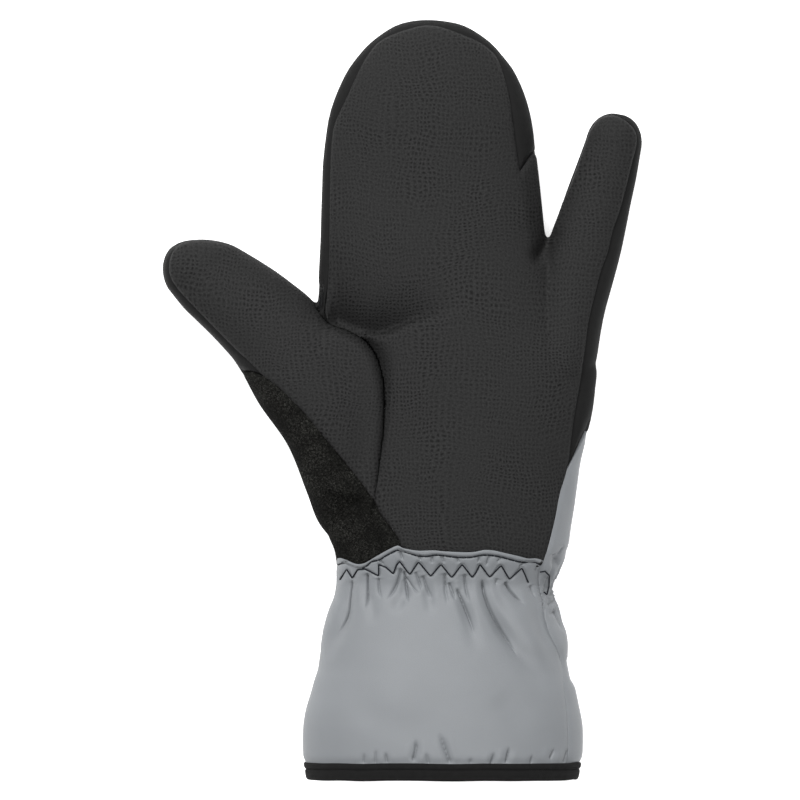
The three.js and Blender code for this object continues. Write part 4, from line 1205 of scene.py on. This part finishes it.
def cuff_front_surface(sizes):
    """Front of the gauntlet as a grid: round the section from the left side seam to the right
    one, and up from the hem to the folded edge. Height above the plain section is the sum of
    the edge's fold, the stitch grooves and the folds of the cloth."""
    columns, rows = 390, 210
    u = np.linspace(0, 1, columns)
    edge_line = path_through(WRIST_EDGE, 0.3)
    seam_line = path_through(CUFF_SIDE_SEAM, 0.3)[::-1]
    # the left side seam runs a little lower than the widest place
    left_turn = np.pi + math.asin((0.07 / (SIDE_SHARE * FLATNESS)) ** (1 / LOWER_ROUND))
    lip = sizes.lip / MM

    def seam_at(y):
        return np.interp(y, seam_line[:, 1], seam_line[:, 0])

    def at(y):
        """Points of the plain section, one for each column at its own place along the cuff."""
        left, right, top, base = sleeve_shape(y)
        middle, half = (left + right) / 2, (right - left) / 2
        share = np.clip((seam_at(y) - middle) / half, -1, 1)
        right_turn = np.arccos(share ** (1 / UPPER_ROUND))
        angle = left_turn + (right_turn - left_turn) * u
        across, height = section(angle, half, top, base)
        return np.stack([middle + across, y, height], -1)

    # upper edge of each column: where its own line meets the folded edge
    top_y = np.zeros(columns)
    for _ in range(4):
        top_y = np.interp(at(top_y)[:, 0], edge_line[:, 0], edge_line[:, 1])
    # rows are closer together near the edge, and the last ones round it off: how far each of
    # those is below the edge, and how far it is turned down as a share of the lip
    v = np.linspace(0, 1, rows)
    v = v + 0.75 * np.sin(np.pi * v) / np.pi
    below = (1 - v)[:, None] * (top_y - CUFF_START)[None]
    curl, turned = np.array([(0.35, 0.0), (0.15, -0.1), (0.03, -0.28), (0.0, -0.5)]).T
    curl = np.broadcast_to(curl[:, None], (len(curl), columns))
    below = np.concatenate([below[below.min(1) > 0.45], curl])
    y = top_y[None] - below
    points = np.stack([at(row) for row in y])
    flat = points.reshape(-1, 3)
    xy = flat[:, :2]
    normals = np.cross(np.gradient(points, axis=1), np.gradient(points, axis=0)).reshape(-1, 3)
    normals *= np.sign(normals[:, 2:].mean())
    lengths = np.linalg.norm(normals, axis=1, keepdims=True)
    normals = np.where(lengths > 1e-9, normals / np.maximum(lengths, 1e-9), (0, 0, 1))
    # the last rows keep the normal of the row before the edge
    by_row = normals.reshape(points.shape)
    by_row[-len(curl):] = by_row[-len(curl) - 1]

    # the folded edge, with a second step at the topstitch under it
    from_edge = below.ravel()
    slow = np.tile(blur_walk(3, columns, 40), len(y))
    fine = np.tile(blur_walk(5, columns, 90), len(y))
    sides = np.tile(smoothstep(0, 0.13, u) * (1 - 0.8 * smoothstep(0.95, 1, u)), len(y))
    edge_lift = lip * bell(from_edge, 5.5) * (1 + 0.12 * slow) * sides
    stitch_line = path_through(TOPSTITCH_LEFT + TOPSTITCH, 0.3)
    to_stitch = top_y - np.interp(points[-1, :, 0], stitch_line[:, 0], stitch_line[:, 1])
    band = falling(0.5, 1.1, (below / np.clip(to_stitch, 1.1, 2.4)).ravel())
    edge_lift = edge_lift + 0.4 * lip * band * (1 + 0.3 * fine) * sides
    turned = np.repeat(turned, columns)
    edge_lift[-len(turned):] += turned * lip

    # the stitches' grooves, the folds, and the roll into the side seam
    near = from_edge < 16
    stitched = np.full(len(flat), FAR)
    stitched[near] = np.minimum.reduce([
        beside_path(xy[near], line)[0] for line in (TOPSTITCH, TOPSTITCH_LEFT, ZIGZAG, ZIGZAG_LEFT)
    ])
    groove = 0.4 * bell(stitched, 0.45) + 0.12 * bell(stitched, 1.4)
    folds = fold_depth(xy, FOLDS) + 1.6 * fold_depth(xy, PUCKERS) + valley_depth(xy, SOFT_VALLEYS)
    folds = folds + crumple(xy)
    seam_side = np.abs(xy[:, 0] - seam_at(xy[:, 1]))
    roll = 0.35 * bell(seam_side, 0.9) + 0.2 * bell(seam_side, 3.5)
    moved = flat - normals * (folds + groove + roll + hem_tuck(xy[:, 1]))[:, None]
    moved[:, 2] += edge_lift
    steps = np.linalg.norm(np.diff(points, axis=1), axis=2)
    across = np.concatenate([np.zeros((len(y), 1)), np.cumsum(steps, axis=1)], 1)
    _made["cuff_points"] = moved
    # columns run from left to right and rows upwards, so the faces already point outwards
    return moved, lattice(len(y), columns, False), np.stack([across.ravel(), flat[:, 1]], 1)


def on_cuff(line, lift):
    """A path seen from above laid on the cuff's front, at the height of the four points nearest
    to each of its own, the nearer ones counting for more."""
    grid = _made["cuff_points"]
    grid = grid[(grid[:, 1] > -40) & (grid[:, 2] > 10)]
    gap = ((line[:, None] - grid[None, :, :2]) ** 2).sum(2)
    nearest = np.argpartition(gap, 4, axis=1)[:, :4]
    weight = 1 / (np.take_along_axis(gap, nearest, 1) + 0.01)
    height = (grid[nearest, 2] * weight).sum(1) / weight.sum(1)
    return np.column_stack([line, height + lift])


class MITT_OT_stitching(bpy.types.Operator):
    """Lays the topstitch under the folded edge, the zigzag over the elastic and its loose end"""

    bl_idname = "mitt.stitching"
    bl_label = "Stitching"

    def execute(self, context):
        radius = context.scene.mitt_sizes.thread / MM / 2
        look = cloths()["thread"]
        for name, points, stitch in (
            ("topstitch", TOPSTITCH, 2.6), ("topstitch_left", TOPSTITCH_LEFT, 2.6),
            ("zigzag_stitch", ZIGZAG, 0), ("zigzag_stitch_left", ZIGZAG_LEFT, 0),
            ("thread_end", THREAD_END, 0),
        ):
            if stitch:  # a stitch's length in mm: the thread dips where it goes into the cloth
                step = 0.2
                line = path_through(points, step)
                walked = np.arange(len(line)) * step
                dip = 0.45 * bell(np.mod(walked, stitch) - stitch / 2, 0.22)
                thin = radius * (1 - 0.3 * dip)
            else:
                line, dip, thin = self.rounded(np.array(points, float)), 0.0, radius * 0.95
            item = thread(name, on_cuff(line, radius * 0.5 - dip), thin)
            item.data.materials.append(look)
            carry(item, "binding_tape")
        return {"FINISHED"}

    @staticmethod
    def rounded(corners):
        """Straight stitches from corner to corner, with the sharp turns taken off by averaging
        each point with its neighbours."""
        runs = [np.linspace(a, b, 24, endpoint=False) for a, b in zip(corners, corners[1:])]
        line = np.concatenate([*runs, corners[-1:]])
        for _ in range(6):
            middle = (line[:-2] + 2 * line[1:-1] + line[2:]) / 4
            line = np.concatenate([line[:1], middle, line[-1:]])
        return line


class MITT_OT_hem_binding(bpy.types.Operator):
    """Sweeps the knitted tape round the open end of the cuff"""

    bl_idname = "mitt.hem_binding"
    bl_label = "Hem binding"

    def execute(self, context):
        # the tape's profile, distance along the cuff against distance outwards, is carried round
        # the cuff's section, so each of its points draws a section grown by its distance
        profile = np.array([
            (-78.3, -2.2), (-80.5, -2.3), (-82.4, -2.1), (-83.2, -1.5), (-83.45, -0.8),
            (-83.3, -0.1),
            (-82.7, 0.3), (-81.6, 0.42), (-80.4, 0.4), (-79.8, 0.25), (-79.45, -0.1), (-79.1, 0.2),
            (-78.6, 0.42), (-77.7, 0.42), (-77.15, 0.25), (-76.95, -0.1), (-77.0, -0.6),
            (-77.3, -1.2), (-77.5, -1.8),
        ])
        step, around = 0.25, 420  # mm along the profile, and points round the cuff
        fine = path_through(np.concatenate([profile, profile[:1]]), step)[:-1]
        along, out = fine.T
        angle = np.linspace(0, 2 * np.pi, around, endpoint=False)
        base_rings = sleeve_rings(np.maximum(along, HEM), angle)
        ahead = np.roll(base_rings, -1, 1) - np.roll(base_rings, 1, 1)
        outward = np.stack([ahead[..., 2], np.zeros_like(ahead[..., 0]), -ahead[..., 0]], -1)
        outward /= np.linalg.norm(outward, axis=2, keepdims=True)
        # the seam along the tape's middle is puckered
        wave = 0.12 * blur_walk(11, around, 70)[None] * bell(along + 79.4, 2.0)[:, None]
        rings = base_rings + outward * (out[:, None] + wave - 0.25)[..., None]
        rings[..., 1] = along[:, None] + 0.15 * blur_walk(12, around, 30)[None]
        rings[..., 2] = np.maximum(rings[..., 2], 0.0)
        cloth = np.broadcast_arrays(
            walked_along(base_rings[0])[None], np.arange(len(fine))[:, None] * step)
        cloth = np.stack(cloth, -1).reshape(-1, 2)
        # the last ring joins the first, which closes the profile
        faces = lattice(len(fine), around, True)
        here, last = np.arange(around), (len(fine) - 1) * around
        after = np.roll(here, -1)
        closing = np.stack([last + here, last + after, after, here], 1)
        faces = np.concatenate([faces, closing])
        item = new_object("hem_binding", rings.reshape(-1, 3), faces, cloth)
        item.data.materials.append(cloths()["tape"])
        carry(item, "binding_tape", "hem_binding")
        return {"FINISHED"}


class MITT_PT_panel(bpy.types.Panel):
    """Lists the mitt's settings and the steps that build it"""

    bl_idname = "MITT_PT_panel"
    bl_label = "Mitt"
    bl_space_type = "VIEW_3D"
    bl_region_type = "UI"
    bl_category = "Mitt"

    def draw(self, context):
        for group in (context.scene.mitt_sizes, context.scene.mitt_colours):
            box = self.layout.box()
            for key in group.bl_rna.properties.keys():
                if key not in ("rna_type", "name"):
                    box.prop(group, key)
        for step in STEPS:
            self.layout.operator(step.bl_idname)


STEPS = (MITT_OT_stage, MITT_OT_hand_panels, MITT_OT_cuff, MITT_OT_stitching, MITT_OT_hem_binding)
CLASSES = (MittSizes, MittColours, *STEPS, MITT_PT_panel)


def register():
    for cls in CLASSES:
        bpy.utils.register_class(cls)
    bpy.types.Scene.mitt_sizes = PointerProperty(type=MittSizes)
    bpy.types.Scene.mitt_colours = PointerProperty(type=MittColours)


def unregister():
    del bpy.types.Scene.mitt_colours
    del bpy.types.Scene.mitt_sizes
    for cls in reversed(CLASSES):
        bpy.utils.unregister_class(cls)


def main():
    register()
    for step in STEPS:
        group, name = step.bl_idname.split(".")
        getattr(getattr(bpy.ops, group), name)()


if __name__ == "__main__":
    main()
